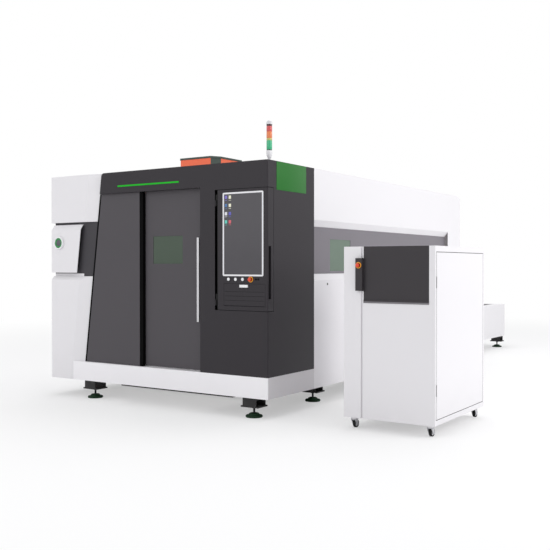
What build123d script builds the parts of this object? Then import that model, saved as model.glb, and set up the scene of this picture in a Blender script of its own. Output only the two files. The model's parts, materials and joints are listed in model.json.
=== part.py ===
from build123d import *
import math
import os

os.makedirs("parts", exist_ok=True)

# Fiber laser cutting machine with an exchange table and a rolling source cabinet.
# Millimetres. X runs across the front, Y from the front door to the exchange table, Z is up.
# The origin is on the floor, under the middle of the whole machine.

# Enclosure
shell_width = 2665
shell_length = 4490
shell_height = 2200
sheet = 3
tray = 25
seam = 0.3
bed_drop = 176
skirt_height = 184
flange = 40

# Console column and fascia
column_width = 722
column_depth = 765
corner_radius = 12
fascia_reach = 24
fascia_height = 200
fascia_depth = 58
fascia_radius = 35
skirt_overlap = 20
skirt_length = 1588

# Window band along the sides
band_low = 1232
band_high = 1669
band_depth = 45
bevel_height = 60
rear_post = 420
rear_chamfer = 105
rear_chamfer_drop = 35
window_start = 372
window_length = 413
window_height = 305
window_low = 1255
pane = 6

# Left covers and fixed panel
slant = 0.1276
edge_at_top = 1984
bevel_run = 148
bevel_depth = 42
cover_radius = 40
mid_cover_gap = 196
stand_off = 30
stand_off_inset = 90
notch = 27
mid_high = 1715
mid_low = 1237
upper_low = 1738
lower_high = 1202
notch_rise = 50
notch_drop = 36
fixed_setback = 30
trim_width = 20
brush_width = 40
brush_gap = 5
lamp_radius = 65
lamp_ring_radius = 50
lamp_proud = 22
lamp_from_left = 142
lamp_height = 1535
lamp_sides = 16

# Sliding front door
door_setback = 65
door_thickness = 40
door_width = 701
door_foot_gap = 8
door_head_rise = 10
rail_height = 25
rail_rise = 60
rail_overrun = 80
hanger_width = 120
hanger_inset = 110
hanger_thickness = 6
hanger_lip = 23
door_gap = 2
door_rim = 18
guide_fin = 6
guide_groove = 10
guide_rise = 14
door_window_width = 355
door_window_height = 256
door_window_from_left = 95
door_window_low = 1325
handle_from_edge = 44
handle_low = 804
handle_length = 754
handle_width = 26
handle_depth = 14
handle_gap = 28
handle_post = 16
handle_post_inset = 45

# Console door with screen, buttons and keyboard flap
console_slot = 27
console_from_corner = 531
console_wrap = 88
console_low = 922
console_height = 1044
console_skin = 22
console_gap = 4
console_hinge_radius = 6
console_hinge_height = 100
console_hinge_inset = 38
console_hinge_leaf = 12
screen_from_corner = 43
screen_width = 426
screen_height = 723
screen_low = 1217
screen_radius = 12
screen_rim = 14
screen_proud = 4
screen_depth = 45
button_height = 1190
button_radius = 14
button_bore = 11
button_first = 406
button_pitch = 75
button_travel = 4
button_head = 5
button_stem = 40
button_sides = 12
estop_from_corner = 174
estop_radius = 20
estop_neck = 11
estop_head = 14
estop_stand = 14
estop_stem = 30
estop_sides = 12
flap_from_corner = 28
flap_width = 430
flap_low = 960
flap_height = 190
flap_gap = 2
flap_hinge_radius = 6
flap_pin_radius = 3
flap_pin_reach = 8
flap_thickness = 16
pull_width = 83
pull_height = 23
pull_drop = 18
pull_proud = 12
keyboard_inset = 22
keyboard_depth = 8
grip_from_front = 13
grip_width = 38
grip_low = 1024
grip_height = 448

# Indicator strip and tower light
led_from_corner = 964
led_length = 759
led_rise = 64
led_size = 14
led_proud = 3
tower_from_corner = 64
tower_from_front = 120
tower_radius = 26
tower_neck = 9
tower_base_height = 90
tower_lens_height = 222
tower_cap_height = 37
tower_gap = 3
tower_sides = 12

# Machine bed and gantry guides
bed_clear = 1720
bed_beam_width = 180
bed_top = 980
bed_start = 820
bed_end_gap = 60
base_tube = 120
base_tube_height = 60
base_from_side = 208
front_sill_drop = 11
bed_cross_width = 120
bed_rib = 90
bed_wall = 20
guide_rail_width = 34
guide_rail_height = 28
rack_width = 30
lift_guide_width = 30
lift_guide_depth = 20
lift_guide_height = 330
front_sill_start = 370
front_sill_length = 1310

# Gantry
beam_from_front = 1520
beam_depth = 240
beam_height = 270
beam_half = 1020
beam_wall = 12
beam_corner = 60
saddle_width = 165
saddle_length = 480
saddle_overhang = 100
saddle_height = 50
block_height = 32
block_length = 90
x_rail_height = 28
x_rail_depth = 24
x_rail_inset = 40
motor_size = 100
motor_height = 230
gearbox_radius = 46
gearbox_height = 70
gantry_forward = 190
gantry_back = 2310

# Carriage and cutting head
opening_margin = 40
carriage_offset = -244
carriage_width = 400
carriage_plate = 24
carriage_gap = 6
spine_width = 220
spine_depth = 60
spine_drop = 490
cover_width = 513
cover_depth = 466
cover_lift = 12
cover_rise = 240
cover_corner_x = 56
cover_corner_y = 100
cover_cap = 20
cover_cap_lip = 4
head_slide_width = 140
head_slide_depth = 50
head_slide_rise = 18
head_slide_height = 320
head_arm_height = 180
head_axis_from_plate = 166
head_body_width = 92
head_body_depth = 104
nozzle_length = 50
nozzle_gap = 6
head_body_height = 190
head_collimator_radius = 36
head_collimator_height = 180
head_focus_radius = 33
head_focus_height = 50
nozzle_radius = 24
nozzle_tip_radius = 5
head_sides = 12
head_travel = 110
carriage_left = 406
carriage_right = 894

# Exchange table, rails, lift and pallets
table_length = 2910
table_width = 2005
table_height = 684
table_wall = 6
gusset_width = 120
gusset_count = 4
table_end_width = 120
rail_shelf = 140
rail_shelf_thickness = 12
rail_web = 26
lower_rail_top = 264
level_step = 215
rail_joint = 50
rails_end_gap = 10
passage_clear = 36
pallet_end_gap = 10
pallet_width = 1560
pallet_start = 1000
pallet_from_rear = 50
pallet_tube = 60
pallet_tube_height = 80
pallet_crosses = 5
wheel_inset = 150
wheel_radius = 25
wheel_width = 30
wheel_count = 4
wheel_sides = 12
slat_count = 20
slat_thickness = 5
slat_height = 100
slat_tip = 28
slat_teeth = 5
slat_sink = 20
slat_seat = 6
comb_width = 8
comb_height = 60
comb_inset = 40
lift_lead = 10
lift_overrun = 180
lift_rail_width = 60
lift_rail_height = 24
lift_shoe = 90
lift_shoe_wall = 16
lift_crosses = 3

# Levelling feet
bracket_width = 140
bracket_length = 150
bracket_height = 74
bracket_web = 8
base_plate_width = 180
base_plate = 12
foot_radius = 74
foot_rim = 18
foot_boss_radius = 26
foot_boss = 38
foot_sides = 10
foot_stem_radius = 10
foot_stem_sides = 6
foot_nut_radius = 20
foot_nut = 14
foot_nut_sides = 6
foot_from_front = 95
foot_from_side = 205
foot_front_left = 2120
side_foot_front = 1089
side_foot_rear = 390
table_foot_front = 910
table_foot_rear = 150
table_foot_inset = 75

# Source cabinet on casters
cabinet_gap = 677
cabinet_width = 775.5
cabinet_depth = 1095
cabinet_setback = 89
cabinet_low = 94
cabinet_high = 1459
cabinet_wall = 24
strip_width = 152
groove_width = 19
groove_depth = 12
front_panel_from_left = 176
front_panel_width = 551
front_panel_low = 1012
front_panel_depth = 18
front_panel_lip = 26
front_panel_lip_proud = 4
estop_box_from_left = 118
estop_box_width = 60
estop_box_low = 1108
estop_box_height = 259
estop_box_depth = 35
cabinet_estop_height = 1311
side_door_inset = 34
side_door_rear_inset = 27
side_door_low = 139
side_door_high = 1410
side_door_thickness = 18
side_door_gap = 3
side_door_lip = 12
shelf_gap = 60
door_knuckle_radius = 7
door_knuckle_height = 88
door_knuckle_lows = (317, 1138)
knuckle_sides = 8
source_width = 480
source_depth = 760
source_height = 420
source_low = 420
shelf_thickness = 6

# Casters
caster_inset_x = 62
caster_inset_y = 66
caster_plate = 76
caster_plate_thickness = 6
caster_swivel_radius = 30
caster_swivel_height = 12
caster_wheel_radius = 32.5
caster_wheel_width = 28
caster_tyre = 8
caster_fork_gap = 2
caster_fork_thickness = 4
caster_trail = 24
caster_pin_radius = 8
caster_crown = 8
caster_axle_radius = 6
caster_sides = 16
bore_sides = 8
axle_clearance = 0.05

# Places derived from the sizes above
hinge_proud = door_knuckle_radius
estop_reach = estop_stand + estop_head
total_width = shell_width + cabinet_gap + cabinet_width + hinge_proud
total_length = estop_reach + shell_length + table_length
right = total_width / 2 - hinge_proud - cabinet_width - cabinet_gap
left = right - shell_width
front = -total_length / 2 + estop_reach
rear = front + shell_length
table_end = rear + table_length
middle = (left + right) / 2
skirt_top = bed_drop + skirt_height
fascia_low = shell_height - fascia_height
column_left = right - column_width
skirt_split = column_width + skirt_overlap
fixed_panel_end = column_width + door_gap + door_width + brush_gap + brush_width
door_bottom = skirt_top + door_foot_gap
door_top = fascia_low + door_head_rise
rail_low = fascia_low + rail_rise
upper_rail_top = lower_rail_top + level_step
pallet_length = table_length - table_end_width - rails_end_gap - pallet_from_rear - pallet_end_gap
pallet_travel = shell_length + pallet_from_rear - pallet_start
lift_start = pallet_start + lift_lead
lift_length = pallet_length + lift_overrun
slat_crest = upper_rail_top + wheel_radius + pallet_tube_height + slat_height - slat_sink
cabinet_left = right + cabinet_gap
cabinet_right = cabinet_left + cabinet_width
cabinet_front = front + cabinet_setback
cabinet_back = cabinet_front + cabinet_depth


def front_plane(y):
    """Upright plane facing the viewer, at a distance y, with X to the right and Z up."""
    return Plane.XZ.offset(-y)


def level_plane(z):
    """Level plane at a height."""
    return Plane.XY.offset(z)


def side_plane(x):
    """Upright plane facing right, at a distance x, with Y to the right and Z up."""
    return Plane.YZ.offset(x)


def block(x_low, x_high, y_low, y_high, z_low, z_high, mode=Mode.ADD):
    """Square-edged stock between two corners, cut from a plan outline."""
    with BuildSketch(Plane.XY.offset(z_low)) as plan:
        with Locations(((x_low + x_high) / 2, (y_low + y_high) / 2)):
            Rectangle(x_high - x_low, y_high - y_low)
    extrude(plan.sketch, amount=z_high - z_low, mode=mode)


def outline(plane, points, depth, mode=Mode.ADD):
    """Straight-sided profile on a plane, pushed along the plane's normal."""
    with BuildSketch(plane) as profile:
        with BuildLine():
            Polyline(*points, close=True)
        make_face()
    extrude(profile.sketch, amount=depth, mode=mode)


def post(x, y, z_low, z_high, radius, mode=Mode.ADD):
    """Upright round bar or hole."""
    with BuildSketch(Plane.XY.offset(z_low)) as plan:
        with Locations((x, y)):
            Circle(radius)
    extrude(plan.sketch, amount=z_high - z_low, mode=mode)


def folded(points, thickness):
    """Closed outline of a folded sheet that follows open points, thick to their left."""
    count = len(points)
    inner = []
    for i in range(count):
        before = Vector(*points[max(i - 1, 0)])
        here = Vector(*points[i])
        after = Vector(*points[min(i + 1, count - 1)])
        run_in = (here - before).normalized() if i > 0 else (after - here).normalized()
        run_out = (after - here).normalized() if i < count - 1 else run_in
        normal_in = Vector(-run_in.Y, run_in.X)
        normal_out = Vector(-run_out.Y, run_out.X)
        mitre = normal_in + normal_out
        shift = mitre * (2 * thickness / mitre.dot(mitre))
        inner.append((here.X + shift.X, here.Y + shift.Y))
    return list(points) + inner[::-1]


def ring_corners(plane, place, sides, radius, flats):
    """Corners of an even-sided outline about a place, with the radius to its corners or its flats."""
    reach = radius / math.cos(math.pi / sides) if flats else radius
    turns = [2 * math.pi * index / sides for index in range(sides)]
    return [plane.from_local_coords((place[0] + reach * math.sin(turn), place[1] + reach * math.cos(turn)))
            for turn in turns]


def many_sided(plane_at, place, sides, rings, mode=Mode.ADD, flats=False):
    """Turned form drawn with flat sides, from rings of radius and distance along its axis."""
    loops = [ring_corners(plane_at(distance), place, sides, radius, flats) for radius, distance in rings]
    walls = []
    for near, far in zip(loops, loops[1:]):
        for index in range(sides):
            after = (index + 1) % sides
            walls.append((near[index], near[after], far[after], far[index]))
    outlines = [loops[0], loops[-1], *walls]
    add(Solid(Shell([Face(Wire.make_polygon(outline)) for outline in outlines])), mode=mode)


def lower_knuckle(x, y, low, height, radius):
    """Lower half of a lift-off hinge, with the round pin that the upper half turns on."""
    many_sided(level_plane, (x, y), knuckle_sides, [(radius, low), (radius, low + height / 2)])
    post(x, y, low + height / 2, low + height - radius, radius / 2)


def upper_knuckle(x, y, low, height, radius):
    """Upper half of a lift-off hinge, bored for the pin."""
    half_way = low + height / 2
    many_sided(level_plane, (x, y), knuckle_sides, [(radius, half_way + seam), (radius, low + height)])
    bore = radius / 2 + axle_clearance
    many_sided(level_plane, (x, y), bore_sides, [(bore, half_way), (bore, low + height + seam)],
               mode=Mode.SUBTRACT, flats=True)


def save(piece, name):
    """Label a finished piece and write it."""
    piece.part.label = name
    export_step(piece.part, "parts/" + name + ".step")


# Slanted edge between the white covers and the dark fixed panel
def edge_x(height, shift=0):
    """X of the slanted edge at a height, moved left by shift."""
    return right - edge_at_top - (fascia_low - height) * slant - shift


# Dark front shell: console column and fascia in one folded housing
def column_prism(low, high, inset):
    """Column body with its rounded front corner, inset on every upright face."""
    with BuildPart() as prism:
        with BuildSketch(Plane.XY.offset(low)) as plan:
            with Locations((right - column_width / 2, front + column_depth / 2)):
                Rectangle(column_width - 2 * inset, column_depth - 2 * inset)
            corner = plan.vertices().group_by(Axis.X)[-1].sort_by(Axis.Y)[0]
            fillet(corner, corner_radius - inset)
        extrude(amount=high - low)
    return prism.part


def fascia_end(height, inset=0):
    """X of the fascia's slanted left end at a height, moved right by inset."""
    return edge_x(height, -fascia_reach - inset)


def fascia_prism(inset):
    """Fascia body with its slanted left end and rounded upper left corner."""
    low = fascia_low + inset
    high = shell_height - inset
    with BuildPart() as prism:
        with BuildSketch(front_plane(front + inset)) as face:
            with BuildLine():
                Polyline(
                    (column_left + sheet - inset, low),
                    (fascia_end(low, inset), low),
                    (fascia_end(high, inset), high),
                    (column_left + sheet - inset, high),
                    close=True,
                )
            make_face()
            corner = face.vertices().group_by(Axis.Y)[-1].sort_by(Axis.X)[0]
            fillet(corner, fascia_radius - inset)
        extrude(amount=-(fascia_depth - 2 * inset))
    return prism.part


door_rail_front = front + fascia_depth
door_rail_back = door_rail_front + rail_height
console_left = right - console_from_corner
console_top = console_low + console_height
console_hinge_x = console_left - console_slot / 2
console_hinge_y = front + console_hinge_radius
console_hinge_lows = (console_low + console_hinge_inset,
                      console_top - console_hinge_inset - console_hinge_height)

with BuildPart() as front_shell:
    add(column_prism(skirt_top + seam, shell_height, 0))
    add(fascia_prism(0))
    add(column_prism(skirt_top + seam + sheet, shell_height - sheet, sheet), mode=Mode.SUBTRACT)
    add(fascia_prism(sheet), mode=Mode.SUBTRACT)
    block(console_left - console_slot, right + sheet, front - sheet, front + console_wrap + console_gap,
          console_low - console_gap, console_top + console_gap, mode=Mode.SUBTRACT)
    block(fascia_end(fascia_low) - rail_overrun, column_left, door_rail_front, door_rail_back,
          rail_low, rail_low + rail_height)
    for low in console_hinge_lows:
        lower_knuckle(console_hinge_x, console_hinge_y, low, console_hinge_height, console_hinge_radius)
        block(console_left - console_slot - console_hinge_leaf, console_hinge_x,
              front + sheet, console_hinge_y + console_hinge_radius, low, low + console_hinge_height / 2)
save(front_shell, "front_shell")

# Indicator strip let into the fascia
led_height = fascia_low + led_rise
with BuildPart() as led_strip:
    block(right - led_from_corner - led_length, right - led_from_corner, front - led_proud, front - seam,
          led_height - led_size / 2, led_height + led_size / 2)
    chamfer(led_strip.edges().filter_by(Axis.Y), led_size / 3)
save(led_strip, "led_strip")

# Fixed panel left of the door, with a slanted outer edge
fixed_front = front + fixed_setback
panel_low = skirt_top + seam
panel_high = fascia_low - seam
with BuildPart() as left_panel:
    skin = [
        (edge_x(panel_low, -trim_width), panel_low),
        (right - fixed_panel_end, panel_low),
        (right - fixed_panel_end, panel_high),
        (edge_x(panel_high, -trim_width), panel_high),
    ]
    outline(front_plane(fixed_front), skin, -tray)
    hollow = [
        (edge_x(panel_low + tray, -trim_width - tray), panel_low + tray),
        (right - fixed_panel_end - tray, panel_low + tray),
        (right - fixed_panel_end - tray, panel_high - tray),
        (edge_x(panel_high - tray, -trim_width - tray), panel_high - tray),
    ]
    outline(front_plane(fixed_front + sheet), hollow, -tray, mode=Mode.SUBTRACT)
save(left_panel, "left_panel")

# Black edge trim on the slant and the brush that closes the gap to the door
with BuildPart() as panel_seals:
    slant_bar = [
        (edge_x(panel_low), panel_low),
        (edge_x(panel_low, seam - trim_width), panel_low),
        (edge_x(panel_high, seam - trim_width), panel_high),
        (edge_x(panel_high), panel_high),
    ]
    outline(front_plane(fixed_front - seam), slant_bar, -tray)
    block(right - fixed_panel_end + seam, right - fixed_panel_end + brush_width,
          fixed_front + sheet, front + door_setback - 2 * seam, panel_low, panel_high)
save(panel_seals, "panel_seals")


# Front skirt: folded channels under the door and round the column
def corner_channel(inset, low, high):
    """Plan of the corner skirt between two heights."""
    skirt_left = right - skirt_split + seam
    with BuildPart() as prism:
        with BuildSketch(Plane.XY.offset(low)) as plan:
            with Locations(((skirt_left + right) / 2, front + column_depth / 2)):
                Rectangle(right - skirt_left - 2 * inset, column_depth - 2 * inset)
            corner = plan.vertices().group_by(Axis.X)[-1].sort_by(Axis.Y)[0]
            fillet(corner, corner_radius - inset)
        extrude(amount=high - low)
    return prism.part


skirt_reach = door_setback + door_thickness + sheet
fin_front = front + door_setback + (door_thickness - guide_fin) / 2
with BuildPart() as front_skirt:
    channel = folded(
        [
            (front + skirt_reach, bed_drop),
            (front, bed_drop),
            (front, skirt_top),
            (front + skirt_reach, skirt_top),
        ][::-1],
        sheet,
    )
    outline(side_plane(right - skirt_split - skirt_length), channel, skirt_length)
    block(right - skirt_split - skirt_length, right - skirt_split,
          fin_front, fin_front + guide_fin, skirt_top, skirt_top + guide_rise)
save(front_skirt, "front_skirt")

with BuildPart() as corner_skirt:
    add(corner_channel(0, bed_drop, skirt_top))
    add(corner_channel(sheet, bed_drop - sheet, skirt_top - sheet), mode=Mode.SUBTRACT)
    block(right - skirt_split + 2 * sheet, right - sheet, front + column_depth - 2 * sheet,
          front + column_depth + sheet, bed_drop - sheet, skirt_top - sheet, mode=Mode.SUBTRACT)
save(corner_skirt, "corner_skirt")


# White covers at the left front, folded back towards the slanted edge
def left_body(low, high, inset):
    """Left front corner between two heights, inset on its shown faces."""
    bevel = Plane(
        origin=(edge_x(low, bevel_run), front + inset, low),
        x_dir=(slant, 0, 1),
        z_dir=Vector(slant, 0, 1).cross(Vector(bevel_run, bevel_depth, 0)),
    )
    with BuildPart() as body:
        with BuildSketch(Plane.XY.offset(low)) as plan:
            with BuildLine():
                Polyline(
                    (left + inset, front + inset),
                    (fascia_end(high), front + inset),
                    (fascia_end(high), front + column_depth),
                    (left + inset, front + column_depth),
                    close=True,
                )
            make_face()
            corner = plan.vertices().group_by(Axis.X)[0].sort_by(Axis.Y)[0]
            fillet(corner, cover_radius - inset)
        extrude(amount=high - low)
        split(bisect_by=bevel, keep=Keep.TOP)
    return body.part


def left_cut(points):
    """Front outline of a left cover, pushed back through its depth."""
    with BuildPart() as cut:
        outline(front_plane(front - seam), points, -(column_depth + 2 * seam))
    return cut.part


upper_top = shell_height
cover_lip = cover_radius + sheet
with BuildPart() as left_upper_cover:
    add(left_body(upper_low, upper_top, 0))
    add(left_body(upper_low + sheet, upper_top - sheet, sheet), mode=Mode.SUBTRACT)
    block(left + cover_lip, right, front + cover_lip, front + column_depth + sheet,
          upper_low - sheet, upper_low + 2 * sheet, mode=Mode.SUBTRACT)
    face = [
        (left, upper_low),
        (edge_x(upper_low, seam), upper_low),
        (edge_x(fascia_low, seam), fascia_low),
        (fascia_end(fascia_low, -seam), fascia_low),
        (fascia_end(upper_top, -seam), upper_top),
        (left, upper_top),
    ]
    add(left_cut(face), mode=Mode.INTERSECT)
save(left_upper_cover, "left_upper_cover")


def bevelled_body(low, high, drop, inset):
    """Left front corner with a bevel round its top edge, inset on its shown faces."""
    with BuildPart() as body:
        add(left_body(low, high - inset, inset))
        rim = body.faces().sort_by(Axis.Z)[-1].edges()
        corner_point = (left, front, high)
        chamfer(rim.sort_by_distance(corner_point)[:3], drop, notch)
    return body.part


with BuildPart() as left_mid_cover:
    face = [
        (left, mid_low),
        (edge_x(mid_low, mid_cover_gap), mid_low),
        (edge_x(mid_high, mid_cover_gap), mid_high),
        (left, mid_high),
    ]
    add(bevelled_body(mid_low, mid_high, notch_rise, 0))
    add(bevelled_body(mid_low - sheet, mid_high, notch_rise, sheet), mode=Mode.SUBTRACT)
    block(left + cover_radius - seam, right, front + cover_radius - seam,
          front + column_depth + sheet, mid_low - sheet, mid_high + sheet, mode=Mode.SUBTRACT)
    add(left_cut(face), mode=Mode.INTERSECT)
save(left_mid_cover, "left_mid_cover")

with BuildPart() as left_lower_cover:
    skirt_end = right - skirt_split - skirt_length - seam
    face = [
        (left, bed_drop),
        (skirt_end, bed_drop),
        (skirt_end, skirt_top + seam),
        (edge_x(skirt_top, seam), skirt_top + seam),
        (edge_x(lower_high, seam), lower_high),
        (left, lower_high),
    ]
    add(bevelled_body(bed_drop, lower_high, notch_drop, 0))
    add(bevelled_body(bed_drop - sheet, lower_high, notch_drop, sheet), mode=Mode.SUBTRACT)
    add(left_cut(face), mode=Mode.INTERSECT)
save(left_lower_cover, "left_lower_cover")

# Round indicator lamp on the middle cover
lamp_x = left + lamp_from_left
lamp_back = front - seam
lamp_front = lamp_back - lamp_proud
lamp_bevel = lamp_proud / 4
with BuildPart() as port_lamp:
    bezel = [(lamp_radius, lamp_back), (lamp_radius, lamp_front + lamp_bevel),
             (lamp_radius - lamp_bevel, lamp_front)]
    many_sided(front_plane, (lamp_x, lamp_height), lamp_sides, bezel)
    dish = [(lamp_ring_radius, lamp_front + lamp_proud / 2), (lamp_ring_radius, lamp_front - seam)]
    many_sided(front_plane, (lamp_x, lamp_height), lamp_sides, dish, mode=Mode.SUBTRACT)
save(port_lamp, "port_lamp")

# Side walls: upper and lower folded covers on both sides, with the grey window band between
side_start = front + column_depth + seam
side_end = rear - rear_post - seam
side_run = side_end - side_start
upper_fold = [
    (right - flange, shell_height),
    (right, shell_height),
    (right, band_high + bevel_height),
    (right - band_depth, band_high),
]
lower_fold = [
    (right - band_depth, band_low),
    (right, band_low - bevel_height),
    (right, bed_drop),
    (right - flange, bed_drop),
]
mirror_plane = Plane.YZ.offset(middle)

with BuildPart() as side_upper_walls:
    outline(front_plane(side_start), folded(upper_fold[::-1], sheet), -side_run)
    mirror(about=mirror_plane)
save(side_upper_walls, "side_upper_walls")

with BuildPart() as side_lower_walls:
    outline(front_plane(side_start), folded(lower_fold[::-1], sheet), -side_run)
    mirror(about=mirror_plane)
save(side_lower_walls, "side_lower_walls")

band_face = right - band_depth + sheet
band_bottom = band_low + seam
band_top = band_high - seam
window_front = side_start + window_start
window_back = window_front + window_length
window_high = window_low + window_height
with BuildPart() as window_bands:
    block(band_face - tray, band_face, side_start, side_end, band_bottom, band_top)
    block(band_face - 2 * tray, band_face + seam, window_front, window_back, window_low, window_high,
          mode=Mode.SUBTRACT)
    block(band_face - tray - seam, band_face - sheet, side_start + tray, window_front - tray,
          band_low + tray, band_high - tray, mode=Mode.SUBTRACT)
    block(band_face - tray - seam, band_face - sheet, window_back + tray, side_end - tray,
          band_low + tray, band_high - tray, mode=Mode.SUBTRACT)
    mirror(about=mirror_plane)
    filler_low = lower_high + seam
    filler_high = upper_low - seam
    filler = [
        (left + cover_radius, filler_low),
        (edge_x(filler_low, seam), filler_low),
        (edge_x(filler_high, seam), filler_high),
        (left + cover_radius, filler_high),
    ]
    outline(front_plane(front + cover_radius), filler, -sheet)
    block(left + cover_radius, left + cover_radius + sheet, front + cover_radius + sheet + seam,
          front + column_depth, filler_low, filler_high)
    for z in (mid_low + stand_off_inset, mid_high - stand_off_inset):
        for x in (left + stand_off_inset, edge_x(z, bevel_run + mid_cover_gap)):
            block(x - stand_off / 2, x + stand_off / 2, front + sheet + seam, front + cover_radius,
                  z - stand_off / 2, z + stand_off / 2)
save(window_bands, "window_bands")

with BuildPart() as side_windows:
    block(band_face - sheet - pane, band_face - sheet, window_front + seam, window_back - seam,
          window_low + seam, window_high - seam)
    mirror(about=mirror_plane)
save(side_windows, "side_windows")

# Rear wall: folded back panel with corner returns and the passage for the pallets
passage_half = bed_clear / 2 + sheet
passage_top = table_height + passage_clear
rear_profile = [
    (rear - rear_post, bed_drop),
    (rear, bed_drop),
    (rear, shell_height - rear_chamfer_drop),
    (rear - rear_chamfer, shell_height),
    (rear - rear_post, shell_height),
]
rear_inner = [
    (rear - rear_post - sheet, bed_drop - sheet),
    (rear - sheet, bed_drop - sheet),
    (rear - sheet, shell_height - rear_chamfer_drop - sheet),
    (rear - rear_chamfer - sheet, shell_height - sheet),
    (rear - rear_post - sheet, shell_height - sheet),
]
with BuildPart() as rear_wall:
    outline(side_plane(left), rear_profile, shell_width)
    outline(side_plane(left + sheet), rear_inner, shell_width - 2 * sheet, mode=Mode.SUBTRACT)
    block(middle - passage_half, middle + passage_half, rear - tray, rear + sheet,
          bed_drop - sheet, passage_top, mode=Mode.SUBTRACT)
save(rear_wall, "rear_wall")

# Roof: four tray panels round the opening that the tall carriage cover travels in
roof_low = shell_height - tray
opening_left = middle + carriage_offset - carriage_left - cover_width / 2 - opening_margin
opening_right = middle + carriage_offset + carriage_right + cover_width / 2 + opening_margin
beam_front = front + beam_from_front
plate_back = beam_front - x_rail_depth - carriage_gap
plate_front = plate_back - carriage_plate
cover_back = plate_front - seam
cover_front = cover_back - cover_depth
opening_front = cover_front - gantry_forward - opening_margin / 2
opening_back = cover_back + gantry_back + opening_margin


def roof_tray(x_low, x_high, y_low, y_high):
    """Shallow folded tray, open below."""
    block(x_low, x_high, y_low, y_high, roof_low, shell_height)
    block(x_low + sheet, x_high - sheet, y_low + sheet, y_high - sheet, roof_low - sheet,
          shell_height - sheet, mode=Mode.SUBTRACT)


cover_back_y = front + column_depth
flange_left = left + flange + seam
flange_right = right - flange - seam
rear_tray_back = rear - rear_post - seam
with BuildPart() as roof_panels:
    roof_tray(fascia_end(shell_height), column_left - seam, door_rail_back + seam, opening_front)
    roof_tray(flange_left, fascia_end(shell_height, -seam), cover_back_y + seam, opening_front)
    roof_tray(flange_left, opening_left, opening_front + seam, opening_back)
    roof_tray(opening_right, flange_right, cover_back_y + seam, opening_back)
    roof_tray(flange_left, flange_right, opening_back + seam, rear_tray_back)
save(roof_panels, "roof_panels")

# Machine bed: base tubes, cross tubes and the two long beams that carry the gantry
base_low = bed_drop + seam
base_high = base_low + base_tube_height
bed_front = front + bed_start
bed_back = rear - bed_end_gap
bed_inner = bed_clear / 2
bed_outer = bed_inner + bed_beam_width
base_x = shell_width / 2 - base_from_side
cross_y = (bed_front + bed_cross_width / 2, (bed_front + bed_back) / 2, bed_back - bed_cross_width / 2)
beam_low = base_high + seam
lift_guide_low = lower_rail_top - lift_rail_height
lift_guide_y = (front + lift_start + lift_shoe, front + lift_start + lift_length - lift_shoe)
with BuildPart() as bed_frame:
    for side in (-1, 1):
        tube_x = middle + side * base_x
        block(tube_x - base_tube / 2, tube_x + base_tube / 2, front + skirt_reach, rear - bed_end_gap,
              base_low, base_high)
        inner_x = middle + side * bed_inner
        outer_x = middle + side * bed_outer
        block(min(inner_x, outer_x), max(inner_x, outer_x), bed_front, bed_back, beam_low, bed_top)
        pocket_x = middle + side * (bed_outer + seam)
        deep_x = middle + side * (bed_inner + bed_wall)
        block(min(pocket_x, deep_x), max(pocket_x, deep_x), bed_front - seam, bed_back + seam,
              beam_low + bed_rib, bed_top - bed_rib, mode=Mode.SUBTRACT)
        guide_x = middle + side * (bed_inner - lift_guide_depth)
        for y in lift_guide_y:
            block(min(guide_x, inner_x), max(guide_x, inner_x), y - lift_guide_width / 2,
                  y + lift_guide_width / 2, beam_low, lift_guide_low + lift_guide_height)
    for y in cross_y:
        block(middle - base_x + base_tube / 2 + seam, middle + base_x - base_tube / 2 - seam,
              y - bed_cross_width / 2, y + bed_cross_width / 2, base_low, base_high)
    block(right - front_sill_start - front_sill_length, right - front_sill_start,
          front + sheet, front + skirt_reach, bed_drop - front_sill_drop, bed_drop - seam)
save(bed_frame, "bed_frame")

# Ground guide rails and racks that the gantry runs on
rail_x = bed_inner + bed_beam_width / 2
rack_x = bed_outer - rack_width / 2
with BuildPart() as y_rails:
    for side in (-1, 1):
        for x, width in ((rail_x, guide_rail_width), (rack_x, rack_width)):
            block(middle + side * x - width / 2, middle + side * x + width / 2, bed_front, bed_back,
                  bed_top + seam, bed_top + guide_rail_height)
save(y_rails, "y_rails")

# Gantry beam with its two saddles
beam_back = beam_front + beam_depth
saddle_front = beam_front - saddle_overhang
saddle_low = bed_top + guide_rail_height + block_height - guide_rail_height + seam
saddle_top = saddle_low + saddle_height
beam_low_z = saddle_top
beam_top_z = beam_low_z + beam_height
with BuildPart() as gantry_beam:
    section = [
        (beam_front, beam_low_z),
        (beam_back, beam_low_z),
        (beam_back, beam_top_z - beam_corner),
        (beam_back - beam_corner, beam_top_z),
        (beam_front, beam_top_z),
    ]
    outline(side_plane(middle - beam_half), section, 2 * beam_half)
    cavity = [
        (beam_front + beam_wall, beam_low_z + beam_wall),
        (beam_back - beam_wall, beam_low_z + beam_wall),
        (beam_back - beam_wall, beam_top_z - beam_corner),
        (beam_back - beam_corner, beam_top_z - beam_wall),
        (beam_front + beam_wall, beam_top_z - beam_wall),
    ]
    outline(side_plane(middle - beam_half - seam), cavity, 2 * (beam_half + seam), mode=Mode.SUBTRACT)
    for side in (-1, 1):
        saddle_x = middle + side * rail_x
        block(saddle_x - saddle_width / 2, saddle_x + saddle_width / 2, saddle_front,
              saddle_front + saddle_length, saddle_low, saddle_top)
        for y in (saddle_front, saddle_front + saddle_length - block_length):
            block(saddle_x - guide_rail_width, saddle_x + guide_rail_width, y, y + block_length,
                  saddle_low - block_height + 2 * seam, saddle_low)
            block(saddle_x - guide_rail_width / 2 - seam, saddle_x + guide_rail_width / 2 + seam,
                  y - seam, y + block_length + seam, saddle_low - block_height,
                  bed_top + guide_rail_height + seam, mode=Mode.SUBTRACT)
save(gantry_beam, "gantry_beam")

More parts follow.
